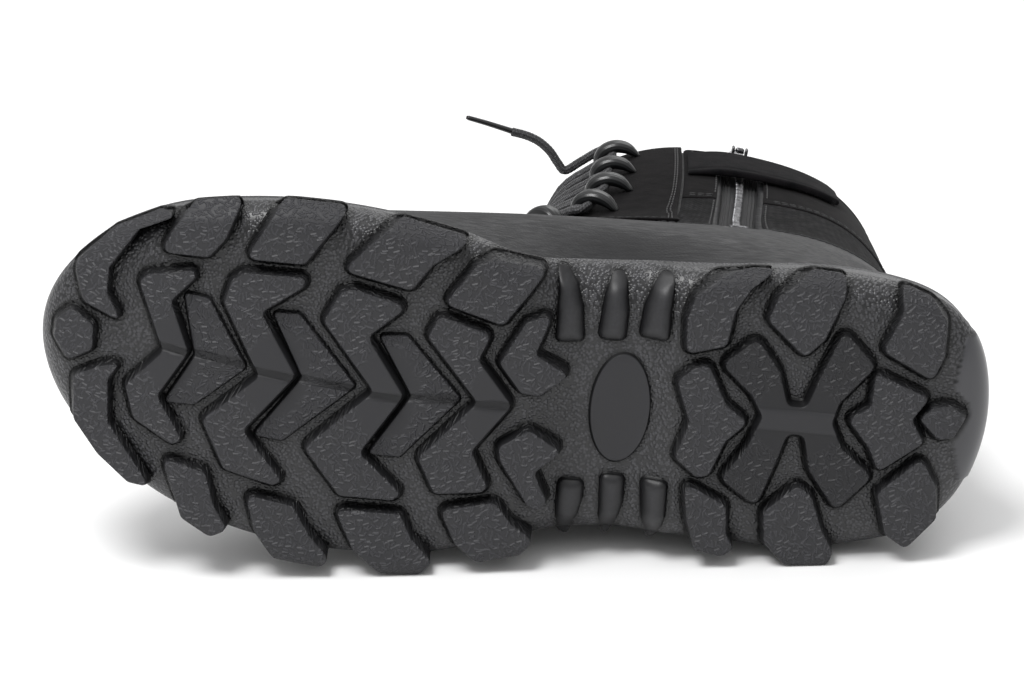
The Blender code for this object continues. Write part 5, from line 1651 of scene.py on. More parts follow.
def make_quarters():
    made = []
    for name, start, end in QUARTERS:
        wide = edge_shares(max(24, int(150 * (end - start))))
        tall = edge_shares(26)
        girth = between(wide, start, end)[None, :]
        foot = lap_line(girth, KNIT_FOOT, 0.35)
        lap = lap_line(girth, BAND_FOOT, -0.55)
        level = between(tall[:, None], foot, lap + 0.05)
        heights = (SET_IN, KNIT_HEIGHT)
        made.append(panel(f"knit_{name}", level, girth, *heights, KNIT, "black_leather"))
        level = between(tall[:, None], lap, BAND_TOP)
        heights = (SET_IN, BAND_HEIGHT)
        made.append(panel(f"nubuck_band_{name}", level, girth, *heights, NUBUCK, "black_leather"))
    return made


quarters = make_quarters()
print("quarters:", [piece.name for piece in quarters])

# %% Facings
FACING_FOOT = 4.7
FACING_GAP = 0.3
FACING_THICKNESS = 1.2


def on_side(girth, lateral):
    return 2 - girth if lateral else girth


def facing_back(level):
    """Girth of the facing's back edge, which runs on straight where the ankle bends forwards."""
    return PANEL_GIRTH - 0.035 * ease(level, 6.4, FACING_FOOT)


def facing_front(level):
    """Girth of its front edge, which draws back under the throat so that the foot tapers."""
    return THROAT_GIRTH - 0.13 * ease(level, THROAT_FOOT, FACING_FOOT)


def make_facing(name, node, lateral):
    """The facing's front edge is beaded: its height swells a little just inside the edge."""
    wide, tall = edge_shares(40), edge_shares(60)
    level = between(tall, FACING_FOOT, COLLAR)[:, None]
    girth = between(wide[None, :], facing_back(level), facing_front(level))
    swell = 0.35 * bump(wide, 0.955, 0.03)[None, :]
    side = on_side(girth, lateral)
    outer = FACING_GAP + FACING_THICKNESS + swell
    piece = panel(name, level, side, FACING_GAP, outer, NUBUCK, "black_nubuck", 1.0)
    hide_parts(node)
    return piece


facings = [make_facing("facing_medial", "eyestay_medial", False)]
facings.append(make_facing("facing_lateral", "eyestay_lateral", True))

# %% Tongue
TONGUE_OUTER = -3.4
TONGUE_INNER = -7.4
TONGUE_FOOT = 4.8
TONGUE_HEAD = 10.9
TONGUE_GIRTH = 0.735
CHANNELS = 7


def make_tongue():
    """A padded sheet, quilted across: its front swells as the square root of a sine between seams,
    and its top is rolled."""
    wide, tall = edge_shares(50), edge_shares(110)
    girth = between(wide, TONGUE_GIRTH, 2 - TONGUE_GIRTH)[None, :]
    level = between(tall, TONGUE_FOOT, TONGUE_HEAD)[:, None]
    quilt = np.abs(np.sin(math.pi * CHANNELS * tall)) ** 0.5
    full = quilt[:, None] * np.sqrt(np.clip(1 - (2 * wide - 1) ** 4, 0, 1))[None, :]
    outer = TONGUE_OUTER - 0.5 + 1.3 * full
    shape = (level, girth, TONGUE_INNER, outer)
    piece = panel("tongue_padded", *shape, TONGUE_CLOTH, "padded_nylon", 2.0)
    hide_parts("tongue")
    return piece


def tongue_cloth():
    """Plain-woven nylon over foam: threads cross over and under 1.4 mm apart, so the height is a
    product of two sine waves of that length."""
    made, tree = new_material("nylon_cloth_woven", "#19191b", 0.7, sheen_weight=0.05)
    cloth = add_node(tree, "UVMap", uv_map="cloth")
    axes = add_node(tree, "SeparateXYZ", [cloth]).node.outputs
    waves = []
    for k in (0, 1):
        turn = add_node(tree, "Math", [axes[k], math.pi * per_mm(0.7)], operation="MULTIPLY")
        waves.append(add_node(tree, "Math", [turn], operation="SINE"))
    height = add_node(tree, "Math", waves, operation="MULTIPLY")
    height = add_node(tree, "Math", [height, 0.5, 0.5], operation="MULTIPLY_ADD")
    # Painted shade: darker where the threads go under.
    colour = add_node(tree, "Mix", {0: height, 6: "#101011", 7: "#232325"}, 2, data_type="RGBA")
    return surface(made, [(height, 0.25)], colour)


TONGUE_CLOTH = tongue_cloth()
tongue = make_tongue()
print("facings and tongue:", len(facings), len(tongue.data.polygons), "faces")

# %% [markdown]
# ## Collar, insole and strap
#
# The collar is bound: a strip folded over the top edge leaves a round bead. The insole is a foam
# board under a brushed cloth. The strap is a skived strip of nubuck whose lower edge is folded
# under, so that the fold shows as a round lip over the gap below it.

# %% Collar bead
BEAD_RADIUS = 1.35
BEAD_LEVEL = 9.96
BEAD_HEIGHT = -0.75


def make_collar_bead():
    """A round tube along the top edge from one facing round the heel to the zip, and a short one
    from the zip to the other facing."""
    made = []
    for name, start, end in QUARTERS:
        girth = np.linspace(start, end, max(20, int(220 * (end - start))))
        path = on_upper(BEAD_LEVEL, girth, BEAD_HEIGHT)
        share = np.linspace(-1, 1, len(girth))[:, None]
        radius = BEAD_RADIUS * np.sqrt(np.clip(1 - np.abs(share) ** 12, 0.2, 1))
        piece = tube_piece(f"collar_bead_{name}", tube_points(path, radius, radius, (0, 0, 1), 12))
        fit_out(piece, NUBUCK)
        made.append(piece)
    return made


collar_beads = make_collar_bead()
print("collar beads:", len(collar_beads))

# %% Insole
INSOLE_THICKNESS = 4.0
INSOLE_LIFT = 1.05
INSOLE_GAP = 3.5
INSOLE_COLUMNS = 160
INSOLE_PROFILE = [  # inwards from the edge, and up
    (20, 0),
    (0.8, 0),
    (0, 0.8),
    (0, INSOLE_THICKNESS - 1.2),
    (0.4, INSOLE_THICKNESS - 0.4),
]


def make_insole():
    """Rings round the foot at five heights, closed above and below towards the middle line."""
    turn = circle(INSOLE_COLUMNS)
    under = FIT + WALL + INSOLE_LIFT
    inset = rim_inset(turn) + RIM_WIDTH + FOOTBED_FILLET + FIT + WALL + INSOLE_GAP
    rings = []
    for narrower, rise in INSOLE_PROFILE:
        plan = sole_ring(turn, inset + narrower)
        rings.append(np.column_stack([plan, footbed(plan[:, 0]) + under + rise]))
    rim = rings[-1][:, :2]
    to_middle = middle_line(rim[:, 0]) - rim[:, 1]
    for share in (0.04, 0.1, 0.3, 0.6, 1.0):
        plan = np.column_stack([rim[:, 0], rim[:, 1] + to_middle * share])
        top = INSOLE_THICKNESS - 0.5 * share**0.5
        rings.append(np.column_stack([plan, footbed(plan[:, 0]) + under + top]))
    s = rings[0][:, 0]
    rings.insert(0, np.column_stack([s, middle_line(s), footbed(s) + under]))
    grid = np.array(rings)
    faces = [grid_quads(*grid.shape[:2], loop_columns=True)]
    piece = mesh_piece("insole_board", grid.reshape(-1, 3), faces)
    fit_out(piece, insole_cloth(), "insole")
    return piece


def insole_cloth():
    """Brushed nylon over foam: dull, with a fine fibrous relief."""
    made, tree = new_material("foam_with_brushed_cloth", "#232325", 0.9, sheen_weight=0.3)
    inputs = {"Vector": object_space(tree), "Scale": per_mm(1.0), "Detail": 6}
    fibres = add_node(tree, "TexNoise", inputs)
    colour = add_node(tree, "Mix", {0: fibres, 6: "#19191b", 7: "#2c2c2f"}, 2, data_type="RGBA")
    return surface(made, [(fibres, 0.25)], colour)


make_insole()

# %% Strap
STRAP_LEVELS = (8.33, 9.6)
STRAP_GIRTHS = (0.22, 0.517)
STRAP_THICKNESS = 2.2
STRAP_THIN_END = 1.0
STRAP_REAR_RISE = 4.0


def strap_inner(girth):
    """Close to the panel at both ends, and over the zip between them."""
    along = (girth - STRAP_GIRTHS[0]) / (STRAP_GIRTHS[1] - STRAP_GIRTHS[0])
    return 0.5 + 0.9 * np.sin(math.pi * np.clip(along, 0, 1)) ** 0.8


def strap_outer(girth):
    """The front end is skived thin, where it goes into the seam."""
    along = (STRAP_GIRTHS[1] - girth) / (STRAP_GIRTHS[1] - STRAP_GIRTHS[0])
    fuller = (STRAP_THICKNESS - STRAP_THIN_END) * ease(along, 0, 0.3)
    return strap_inner(girth) + STRAP_THIN_END + fuller


def make_strap():
    """The lower edge swells into the lip of the fold. The rear end is pulled up along the shaft."""
    wide, tall = edge_shares(60), edge_shares(26)
    girth = between(wide, *STRAP_GIRTHS)[None, :]
    corner = 0.16 * bump(wide, 0.0, 0.06)[None, :] * (2 * tall[:, None] - 1)
    level = between(tall[:, None], *STRAP_LEVELS) - corner
    lip = 0.45 * bump(tall, 0.06, 0.07)[:, None] - 0.35 * bump(tall, 0.16, 0.05)[:, None]
    outer = strap_outer(girth) + lip * ease(wide, 0, 0.05)[None, :]
    rear = 1 - ease(girth, STRAP_GIRTHS[0], STRAP_GIRTHS[0] + 0.12)
    share = np.interp(tall, [0, 1 / 3, 2 / 3, 1], [1, 0.6, 0.2, 0])[:, None]
    drift = np.stack([0 * share * rear, 0 * share * rear, share * rear * STRAP_REAR_RISE], -1)
    finish = ("closure_strap_nubuck", level, girth, strap_inner(girth), outer, STRAP_NUBUCK)
    piece = panel(*finish, "strap_webbing", 0.8, drift)
    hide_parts("closure_strap")
    return piece


strap = make_strap()
print("collar, insole, strap:", len(strap.data.polygons), "faces in the strap")

# %% [markdown]
# ## The zip
#
# A metal zip: two woven tapes, each with a row of teeth clamped on its edge. The teeth of one row
# sit half a pitch from those of the other, so that their heads lock. At the foot a bracket holds
# both tapes together, and near the collar the slider carries a pull tab on a hinge.

# %% Zip tape
TAPE_SET_IN = 3.5
TAPE_THICKNESS = 0.8
TAPE_LAP = 0.03
ZIP_MIDDLE = sum(ZIP_GIRTH) / 2
CHAIN_HALF_GIRTH = 0.013
CHAIN_BOTTOM = -3.0
CHAIN_TOP = -0.9
ZIP_TOP = 9.93
STOP_LEVELS = (4.35, 4.62)
SLIDER_LEVEL = 9.86
RIB_PITCH_GIRTH = 0.0072


def tape_finish():
    """Woven polyester: a fine twill, seen as slanting lines a millimetre apart along each axis."""
    made, tree = new_material("polyester_tape_woven", "#161617", 0.7, sheen_weight=0.05)
    cloth = add_node(tree, "UVMap", uv_map="cloth")
    axes = add_node(tree, "SeparateXYZ", [cloth]).node.outputs
    slant = add_node(tree, "Math", [axes[0], axes[1]], operation="ADD")
    twill = add_node(tree, "Math", [slant, 2 * math.pi * per_mm(1.0)], operation="MULTIPLY")
    twill = add_node(tree, "Math", [twill], operation="SINE")
    height = add_node(tree, "Math", [twill, 0.5, 0.5], operation="MULTIPLY_ADD")
    # Painted shade: darker in the low parts of the twill.
    colour = add_node(tree, "Mix", {0: height, 6: "#0c0c0d", 7: "#252527"}, 2, data_type="RGBA")
    return surface(made, [(height, 0.2)], colour)


def make_tape():
    """The tape is ribbed lengthwise: its height goes with the cosine of the girth, and each rib is a
    cord woven in. It dips beside the chain."""
    wide = edge_shares(90)
    girth = between(wide, ZIP_GIRTH[0] - TAPE_LAP, ZIP_GIRTH[1] + TAPE_LAP)[None, :]
    level = between(edge_shares(60), ZIP_FOOT - 0.2, ZIP_TOP)[:, None]
    away = np.abs(girth - ZIP_MIDDLE)
    rib = 0.5 + 0.5 * np.cos(2 * math.pi * (away - CHAIN_HALF_GIRTH) / RIB_PITCH_GIRTH)
    rib = 0.55 * rib * ease(away, 1.1 * CHAIN_HALF_GIRTH, 1.5 * CHAIN_HALF_GIRTH)
    rib = rib * (1 - ease(away, 0.036, 0.04))
    shape = (level, girth, -TAPE_SET_IN - TAPE_THICKNESS, -TAPE_SET_IN + rib)
    piece = panel("zip_tape_woven", *shape, tape_finish(), "zip_tape", 0.5)
    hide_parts("zip_tape")
    return piece


make_tape()

# %% [markdown]
# The metal parts are nickel-plated brass, tumbled in a drum: bright, a little rough, with fine
# scratches in all directions.

# %% Small metal parts


def nickel():
    """Scratches vary the gloss, and clouds of tarnish darken the plate."""
    made, tree = new_material("nickel_plate_tumbled", "#6c6c6e", 0.34, metallic=1.0)
    where = object_space(tree)
    scratches = add_node(tree, "TexNoise", {"Vector": where, "Scale": per_mm(0.5), "Detail": 6})
    gloss = add_node(tree, "MapRange", [scratches, 0.3, 0.7, 0.2, 0.42])
    tarnish = add_node(tree, "TexNoise", {"Vector": where, "Scale": per_mm(3), "Detail": 4})
    tarnish = add_node(tree, "MapRange", [tarnish, 0.45, 0.75])
    colour = add_node(tree, "Mix", {0: tarnish, 6: "#7c7c7e", 7: "#3c3c3e"}, 2, data_type="RGBA")
    return surface(made, [(scratches, 0.02)], colour, gloss)


NICKEL = nickel()


def in_place(points, level, girth):
    """Moves points from a small frame (x ahead, y up the shaft, z out) onto the upper."""
    origin, normal, ahead, up = upper_frame(np.array([level]), np.array([girth]))
    return origin + points @ np.array([ahead[0], up[0], normal[0]])


def soft_block(size, centre, radius, steps=4):
    """A block with round edges: a point of a finer cube is pulled in to an inner block and pushed
    out again by the radius, along the line from that inner block."""
    line = np.linspace(-1, 1, steps * 2)
    u, v = np.meshgrid(line, line, indexing="ij")
    one = np.ones_like(u)
    sides = [(u, v, one), (v, u, -one), (one, u, v), (-one, v, u), (v, one, u), (u, -one, v)]
    cube = np.stack([np.stack(side, -1) for side in sides])
    half = np.asarray(size, float) / 2
    inner = np.maximum(half - radius, 0)
    core = np.clip(cube * half, -inner, inner)
    out = unit(np.sign(cube) * np.abs(cube) ** 3)
    points = (core + out * np.minimum(radius, half) + centre).reshape(-1, 3)
    count = len(line)
    quads = np.concatenate([grid_quads(count, count) + k * count**2 for k in range(6)])
    return points, quads


def weld(points, quads, finest=1e-3):
    """Merges points that lie within a thousandth of a millimetre, and drops faces that vanish."""
    whole = np.round(points / finest).astype(np.int64)
    _, first, back = np.unique(whole, axis=0, return_index=True, return_inverse=True)
    quads = back.reshape(-1)[quads]
    kept = np.array([len(set(quad)) == 4 for quad in quads.tolist()])
    return points[first], quads[kept]


# %% Teeth
TEETH = 131
TOOTH_SIZE = (2.1, 1.2, 1.5)
TOOTH_CENTRE = (0.5, 0, 0)


def make_teeth():
    """Each tooth is a short block across half of the chain. All are placed at once: the block's
    points times the two directions at each tooth's spot, every other one on the other side."""
    level = np.linspace(STOP_LEVELS[1] + 0.05, ZIP_TOP - 0.03, TEETH)
    side = np.where(np.arange(len(level)) % 2 == 0, 1.0, -1.0)
    origin, normal, ahead, up = upper_frame(level, np.full(len(level), ZIP_MIDDLE))
    block, quads = weld(*soft_block(TOOTH_SIZE, TOOTH_CENTRE, 0.4, 2))
    lift = (CHAIN_BOTTOM + CHAIN_TOP) / 2 + 0.15
    x, y, z = block.T
    points = origin[:, None] + (side[:, None] * x[None, :])[..., None] * ahead[:, None]
    points = points + y[None, :, None] * up[:, None] + (z + lift)[None, :, None] * normal[:, None]
    faces = quads[None] + (np.arange(len(level)) * len(block))[:, None, None]
    teeth = mesh_piece("zip_teeth_nickel", points.reshape(-1, 3), [faces.reshape(-1, 4)])
    fit_out(teeth, NICKEL, "zip_teeth")
    return teeth


zip_teeth = make_teeth()

# %% Stop, slider and pull tab
STOP_PLATE = (6.6, 4.8, 1.2)
STOP_LIP = (1.5, 5.2, 2.4)
SLIDER_SIZE = (7.6, 6.8, 2.2)
SLIDER_LIFT = CHAIN_TOP + 0.35
CHEEK = (1.1, 3.4, 3.0)
KNUCKLE_RADIUS = 1.1
KNUCKLE_WIDTH = 3.4
TAB_SIZE = (5.0, 15.0, 1.3)
TAB_LEAN = math.radians(-18.0)
HINGE = np.array([0.0, SLIDER_SIZE[1] / 2 - CHEEK[1] / 2 - 0.4, SLIDER_LIFT + SLIDER_SIZE[2] + 1.8])


def metal_piece(name, node, bodies, level, body=BOOT_BODY):
    points, faces = joined([weld(*one) for one in bodies])
    piece = mesh_piece(name, in_place(points, level, ZIP_MIDDLE), faces, body)
    fit_out(piece, NICKEL, node)
    return piece


def make_stop():
    """A bracket: a plate over both tapes with a lip at each side, bent over the chain."""
    bodies = [soft_block(STOP_PLATE, (0, 0, -0.2), 0.5)]
    bodies += [soft_block(STOP_LIP, (side * 2.6, 0, -0.9), 0.6) for side in (-1, 1)]
    return metal_piece("zip_stop_bracket", "zip_stop", bodies, sum(STOP_LEVELS) / 2)


def make_slider():
    bodies = [soft_block(SLIDER_SIZE, (0, 0, SLIDER_LIFT + SLIDER_SIZE[2] / 2), 0.9)]
    reach = KNUCKLE_WIDTH / 2 + 0.35 + CHEEK[0] / 2
    for side in (-1, 1):
        bodies.append(soft_block(CHEEK, (side * reach, HINGE[1], HINGE[2] - 0.3), 0.45))
    return metal_piece("zip_slider_body", "zip_slider", bodies, SLIDER_LEVEL)


def make_tab():
    """Knuckle, neck and paddle in the hinge's frame, leant back so that the paddle clears the
    collar. The knuckle is a block as round as its radius allows."""
    knuckle = (KNUCKLE_WIDTH, 2 * KNUCKLE_RADIUS, 2 * KNUCKLE_RADIUS)
    bodies = [soft_block(knuckle, (0, 0, 0), KNUCKLE_RADIUS * 0.9)]
    bodies.append(soft_block((KNUCKLE_WIDTH - 0.4, 5.0, TAB_SIZE[2]), (0, 2.6, 0), 0.5))
    bodies.append(soft_block(TAB_SIZE, (0, 4.6 + TAB_SIZE[1] / 2, 0), 0.6, 6))
    cos, sin = math.cos(TAB_LEAN), math.sin(TAB_LEAN)
    leaning = np.array([(1, 0, 0), (0, cos, sin), (0, -sin, cos)])
    bodies = [(points @ leaning + HINGE, quads) for points, quads in bodies]
    return metal_piece("pull_tab_paddle", "zip_tab", bodies, SLIDER_LEVEL, TAB_BODY)


zip_metal = [make_stop(), make_slider(), make_tab()]
print("zip:", len(zip_teeth.data.polygons), "faces of teeth,", [piece.name for piece in zip_metal])

# %% [markdown]
# ## Lace loops
#
# Five pairs of loops are sewn to the facings. Each is a strip of nylon with a plastic core, heat
# set into an arch, so it is plump and glossy. It leaves the facing behind, arches over the lace and
# goes back in at the front. The section carried along the arch is an ellipse, squared up a little.

# %% Loops
LoopPlace = namedtuple("LoopPlace", "level girth turn")
LOOPS = [
    LoopPlace(5.95, 0.73, 52),
    LoopPlace(6.66, 0.70, 24),
    LoopPlace(7.65, 0.70, 8),
    LoopPlace(8.62, 0.70, 3),
    LoopPlace(9.58, 0.70, 0),
]
LoopRow = namedtuple("LoopRow", "x z wide thick")
LOOP_PATH = [
    LoopRow(-8.6, 1.3, 1.6, 0.8),
    LoopRow(-7.4, 2.8, 2.6, 1.4),
    LoopRow(-5.0, 5.4, 3.4, 2.2),
    LoopRow(-1.6, 7.2, 3.8, 2.5),
    LoopRow(2.2, 7.2, 3.8, 2.5),
    LoopRow(5.0, 5.3, 3.4, 2.2),
    LoopRow(6.0, 2.8, 2.8, 1.8),
    LoopRow(6.0, 1.2, 2.4, 1.5),
]
LOOP_SIDES = 20
DRAWN_LINES = 14
LACE_IN_LOOP = (1.5, 4.4)
LACE_AT_LEG = (7.5, 6.3)
LACE_LIFT = 4.45
CROSSING_LIFT = 2.25


def lay_on(points, level, girth):
    """Bends points from a small frame onto the upper: z is the height over it, and the place is
    found by Newton steps, so that x and y are measured along the surface."""
    origin, _, ahead, up = upper_frame(np.array([level]), np.array([girth]))
    axes = np.array([ahead[0], up[0]])
    levels, girths = np.full(len(points), float(level)), np.full(len(points), float(girth))
    step = 0.002
    for _ in range(6):
        here = (upper_point(levels, girths) - origin) @ axes.T
        by_level = (upper_point(levels + step, girths) - upper_point(levels - step, girths)) @ axes.T
        by_girth = (upper_point(levels, girths + step) - upper_point(levels, girths - step)) @ axes.T
        slopes = np.stack([by_level, by_girth], -1) / (2 * step)
        change = np.linalg.solve(slopes, (points[:, :2] - here)[..., None])[..., 0]
        levels, girths = levels + change[:, 0], girths + change[:, 1]
    return on_upper(levels, girths, points[:, 2])


def turned(points, angle):
    """Turns points about z, x towards y, by an angle in degrees."""
    angle = math.radians(angle)
    x, y, z = points.T
    cos, sin = math.cos(angle), math.sin(angle)
    return np.stack([x * cos - y * sin, x * sin + y * cos, z], -1)


def loop_finish():
    """Heat-set nylon: glossy, with drawn lines lengthwise that break the highlight."""
    made, tree = new_material("nylon_loop_heat_set", "#161718", 0.3)
    turn = add_node(tree, "Attribute", output="Fac", attribute_name="round")
    lines = add_node(tree, "Math", [turn, 2 * math.pi * DRAWN_LINES], operation="MULTIPLY")
    lines = add_node(tree, "Math", [lines], operation="SINE")
    lines = add_node(tree, "Math", [lines, 0.5, 0.5], operation="MULTIPLY_ADD")
    where = object_space(tree)
    clouds = add_node(tree, "TexNoise", {"Vector": where, "Scale": per_mm(4), "Detail": 4})
    colour = add_node(tree, "Mix", {0: clouds, 6: "#111213", 7: "#1d1e1f"}, 2, data_type="RGBA")
    fine = add_node(tree, "TexNoise", {"Vector": where, "Scale": per_mm(0.8), "Detail": 3})
    return surface(made, [(lines, 0.06), (fine, 0.04)], colour)


LOOP_NYLON = loop_finish()


def make_loop(name, spot, lateral):
    """The arch's section has a shallow groove along its inner side, a hollow of the turn."""
    fine = smooth_path(np.array(LOOP_PATH, float), 6)
    path = np.column_stack([fine[:, 0], np.zeros(len(fine)), fine[:, 1]])
    grid = tube_points(path, fine[:, 2:3], fine[:, 3:4], (0.0, 1.0, 0.0), LOOP_SIDES, 0.85)
    groove = 1 - 0.14 * np.exp(-(((circle(LOOP_SIDES) - math.pi * 1.5) / 0.5) ** 2))
    grid = path[:, None] + (grid - path[:, None]) * groove[None, :, None]
    leant = turned(grid.reshape(-1, 3), spot.turn)
    points = lay_on(leant, spot.level, on_side(spot.girth, lateral))
    piece = tube_piece(f"loop_{name}", points.reshape(grid.shape))
    keep_values(piece, "round", np.tile(np.arange(LOOP_SIDES) / LOOP_SIDES, len(fine)))
    fit_out(piece, LOOP_NYLON, f"lace_loop_{name}")
    return piece


loops = []
for lateral, side_name in ((False, "medial"), (True, "lateral")):
    for number, spot in enumerate(LOOPS, 1):
        loops.append(make_loop(f"{side_name}_{number}", spot, lateral))
print("loops:", len(loops), "of", len(loops[0].data.polygons), "faces")

# %% [markdown]
# ## The lace
#
# The lace is a round braid of nylon. It starts as a bar across the lowest loops, and its two halves
# cross over the tongue between each pair of loops. A braid's strands run round it in two
# directions and pass over and under each other: its chart gives the turn round the lace and the
# way along it, and two slanting waves in that chart make the strands.

# %% Braid finish
BRAID_STRANDS = 8
BRAID_PITCH_MM = 5.2


def braid():
    """Two slanting waves of the chart, one to the left and one to the right. Their product is the
    height: where it is high a strand lies on top. The colour is painted shade, near black, where a
    strand goes under, and painted highlight on the strands' tops, with light flecks of painted glint."""
    made, tree = new_material("nylon_braid", "#121213", 0.65, sheen_weight=0.05)
    chart = add_node(tree, "UVMap", uv_map="braid")
    axes = add_node(tree, "SeparateXYZ", [chart]).node.outputs
    turns = BRAID_STRANDS * math.pi
    around = add_node(tree, "Math", [axes[0], turns], operation="MULTIPLY")
    along = add_node(tree, "Math", [axes[1], turns / (BRAID_PITCH_MM * MM)], operation="MULTIPLY")
    waves = []
    for way in ("ADD", "SUBTRACT"):
        slant = add_node(tree, "Math", [around, along], operation=way)
        waves.append(add_node(tree, "Math", [slant], operation="SINE"))
    over = add_node(tree, "Math", waves, operation="MULTIPLY")
    height = add_node(tree, "Math", [over, 0.5, 0.5], operation="MULTIPLY_ADD")
    inputs = {"Vector": object_space(tree), "Scale": per_mm(0.5), "Detail": 3}
    painted_glints = add_node(tree, "TexNoise", inputs)
    painted_glints = add_node(tree, "MapRange", [painted_glints, 0.5, 0.62])
    # Painted highlight on the strands' tops with glints, and painted shade where a strand goes under.
    light = add_node(tree, "Mix", {0: painted_glints, 6: "#39393b", 7: "#6c6c6f"}, 2, data_type="RGBA")
    colour = add_node(tree, "Mix", {0: height, 6: "#070708", 7: light}, 2, data_type="RGBA")
    return surface(made, [(height, 0.3)], colour)


BRAID = braid()
LACE_SPREAD = 1.6


def lace_side(path):
    """A direction away from the middle of the shaft, which never lies along the lace."""
    out = path - np.array([60.0, CENTRE_LINE, 0.0]) * (1, 1, 0)
    out[:, 2] = 8.0
    return out


def keep_braid(piece, chart, sides):
    """Charts the braid face by face, so that the last column runs up to 1 and not back to 0."""
    found = chart[corner_points(piece)]
    starts = np.empty(len(piece.data.polygons), np.int32)
    totals = np.empty(len(piece.data.polygons), np.int32)
    piece.data.polygons.foreach_get("loop_start", starts)
    piece.data.polygons.foreach_get("loop_total", totals)
    face = np.repeat(np.arange(len(starts)), totals)
    most = np.zeros(len(starts))
    np.maximum.at(most, face, found[:, 0])
    wraps = (most[face] > 1 - 1.5 / sides) & (found[:, 0] < 0.5 / sides)
    found[wraps, 0] = 1.0
    keep_chart(piece, "braid", found)


# %% Crossings
STRAND_STEPS = 10


def strand_path(lateral):
    """Round the front leg of a loop, up through it, out again and over the tongue to the next loop
    on the other side."""
    (x_in, y_in), (x_leg, y_leg) = LACE_IN_LOOP, LACE_AT_LEG
    turns = [(x_leg, -y_leg), (x_in, -y_in), (x_in, y_in), (x_leg, y_leg)]
    around = np.array([(x, y, LACE_LIFT) for x, y in turns])
    points = [on_upper([LOOPS[0].level - 0.03], [1.0], [CROSSING_LIFT])]
    points.append(on_upper([LOOPS[0].level - 0.1], [on_side(0.87, lateral)], [4.2]))
    for number, spot in enumerate(LOOPS):
        girth = on_side(spot.girth, lateral)
        stop = lay_on(turned(around, spot.turn), spot.level, girth)
        if number == len(LOOPS) - 1:
            points.append(stop[:3])
            break
        points.append(stop)
        after = LOOPS[number + 1]
        across = on_side(after.girth, not lateral)
        for share, lift in ((0.25, 4.5), (0.5, CROSSING_LIFT), (0.75, 4.5)):
            level = spot.level + (after.level - spot.level) * share
            points.append(on_upper([level], [girth + (across - girth) * share], [lift]))
        lateral = not lateral
    return np.concatenate(points)


def make_crossings():
    """Both halves as one piece, with their charts one after the other. They pass over the tongue
    at the same height, so where they cross they run into each other."""
    bodies, charts = [], []
    for lateral in (False, True):
        path = smooth_path(strand_path(lateral), STRAND_STEPS)
        grid, chart = lace_tube(path, lace_side(path), LACE_SPREAD, 0.07, 1.3)
        bodies.append(tube_body(grid))
        charts.append(chart)
    points, faces = joined(bodies)
    piece = mesh_piece("lace_crossings_braid", points, faces)
    keep_braid(piece, np.concatenate(charts), LACE_SIDES)
    fit_out(piece, BRAID, "lace_crossings")
    return piece


make_crossings()
strands = [smooth_path(strand_path(lateral), STRAND_STEPS) for lateral in (False, True)]
lengths = [length_of(strand) for strand in strands]
print("lace in the loops:", np.round(lengths, 0).tolist(), "mm")

# %% Finish of the loose end and its tip


def tip_finish():
    """Moulded acetate film shrunk over the braid's end: glossy and nearly black."""
    made, tree = new_material("acetate_tip", "#161617", 0.25)
    inputs = {"Vector": object_space(tree), "Scale": per_mm(1.5), "Detail": 3}
    return surface(made, [(add_node(tree, "TexNoise", inputs), 0.06)])


dress(lace_tip, tip_finish())
dress(lace_end, BRAID)
keep_braid(lace_end, lace_end_chart, LACE_SIDES)

# %% [markdown]
# ## Seams and stitches
#
# Lock stitches hold every panel. Each stitch is a short bead of thread, half sunk in the leather,
# and a row of them runs a few millimetres inside each edge. All the beads of a row are placed at
# once: one bead's points times the directions along, across and out at each stitch.

# %% Stitches
STITCH_PITCH = 3.1
STITCH_LENGTH = 2.4
STITCH_THICK = 0.62
BEAD_RINGS = np.array([(-1.0, 0.35), (-0.7, 0.85), (0.0, 1.0), (0.7, 0.85), (1.0, 0.35)])
BEAD_SIDES = 6


def stitch_bead():
    """Points, quads and ends of one bead: five rings along it, each a small circle."""
    turn = circle(BEAD_SIDES)
    x = np.repeat(BEAD_RINGS[:, :1], BEAD_SIDES, 1) * STITCH_LENGTH / 2
    radius = BEAD_RINGS[:, 1:] * STITCH_THICK / 2
    return tube_body(np.stack([x, radius * np.cos(turn), radius * np.sin(turn)], -1))


def row_of_stitches(level, girth, offset):
    """Points of every bead along a line on the upper, given as arrays of level, girth and height."""
    level, girth, offset = np.broadcast_arrays(*map(np.asarray, (level, girth, offset)))
    point, normal, _, _ = upper_frame(level, girth)
    path = point + normal * offset[..., None]
    travel = travelled(path)
    at = np.arange(STITCH_PITCH / 2, travel[-1] - STITCH_PITCH / 2, STITCH_PITCH)

    def read(values, places):
        return np.stack([np.interp(places, travel, column) for column in values.T], -1)

    spot, out = read(path, at), read(normal, at)
    ahead = unit(read(path, at + 0.5) - spot)
    out = unit(out - ahead * (out * ahead).sum(1, keepdims=True))
    axes = np.stack([ahead, np.cross(out, ahead), out], 1)
    return (spot[:, None] + stitch_bead()[0] @ axes).reshape(-1, 3)


def make_stitches(name, rows):
    """rows is a list of (level, girth, offset)."""
    points = np.concatenate([row_of_stitches(*row) for row in rows])
    bead, quads, ends = stitch_bead()
    starts = (np.arange(len(points) // len(bead)) * len(bead))[:, None, None]
    faces = [(block[None] + starts).reshape(-1, block.shape[1]) for block in (quads, ends)]
    piece = mesh_piece(name, points, faces)
    fit_out(piece, THREAD)
    return piece


ALONG = np.linspace(0, 1, 240)
ALONG_LEATHER = np.linspace(0, 1, 600)
LEATHER_SEAMS = [(-0.95, 0.35), (0.45, 0.95)]  # girths: round the heel, and in front of the zip
COLLAR_SEAM = 9.8


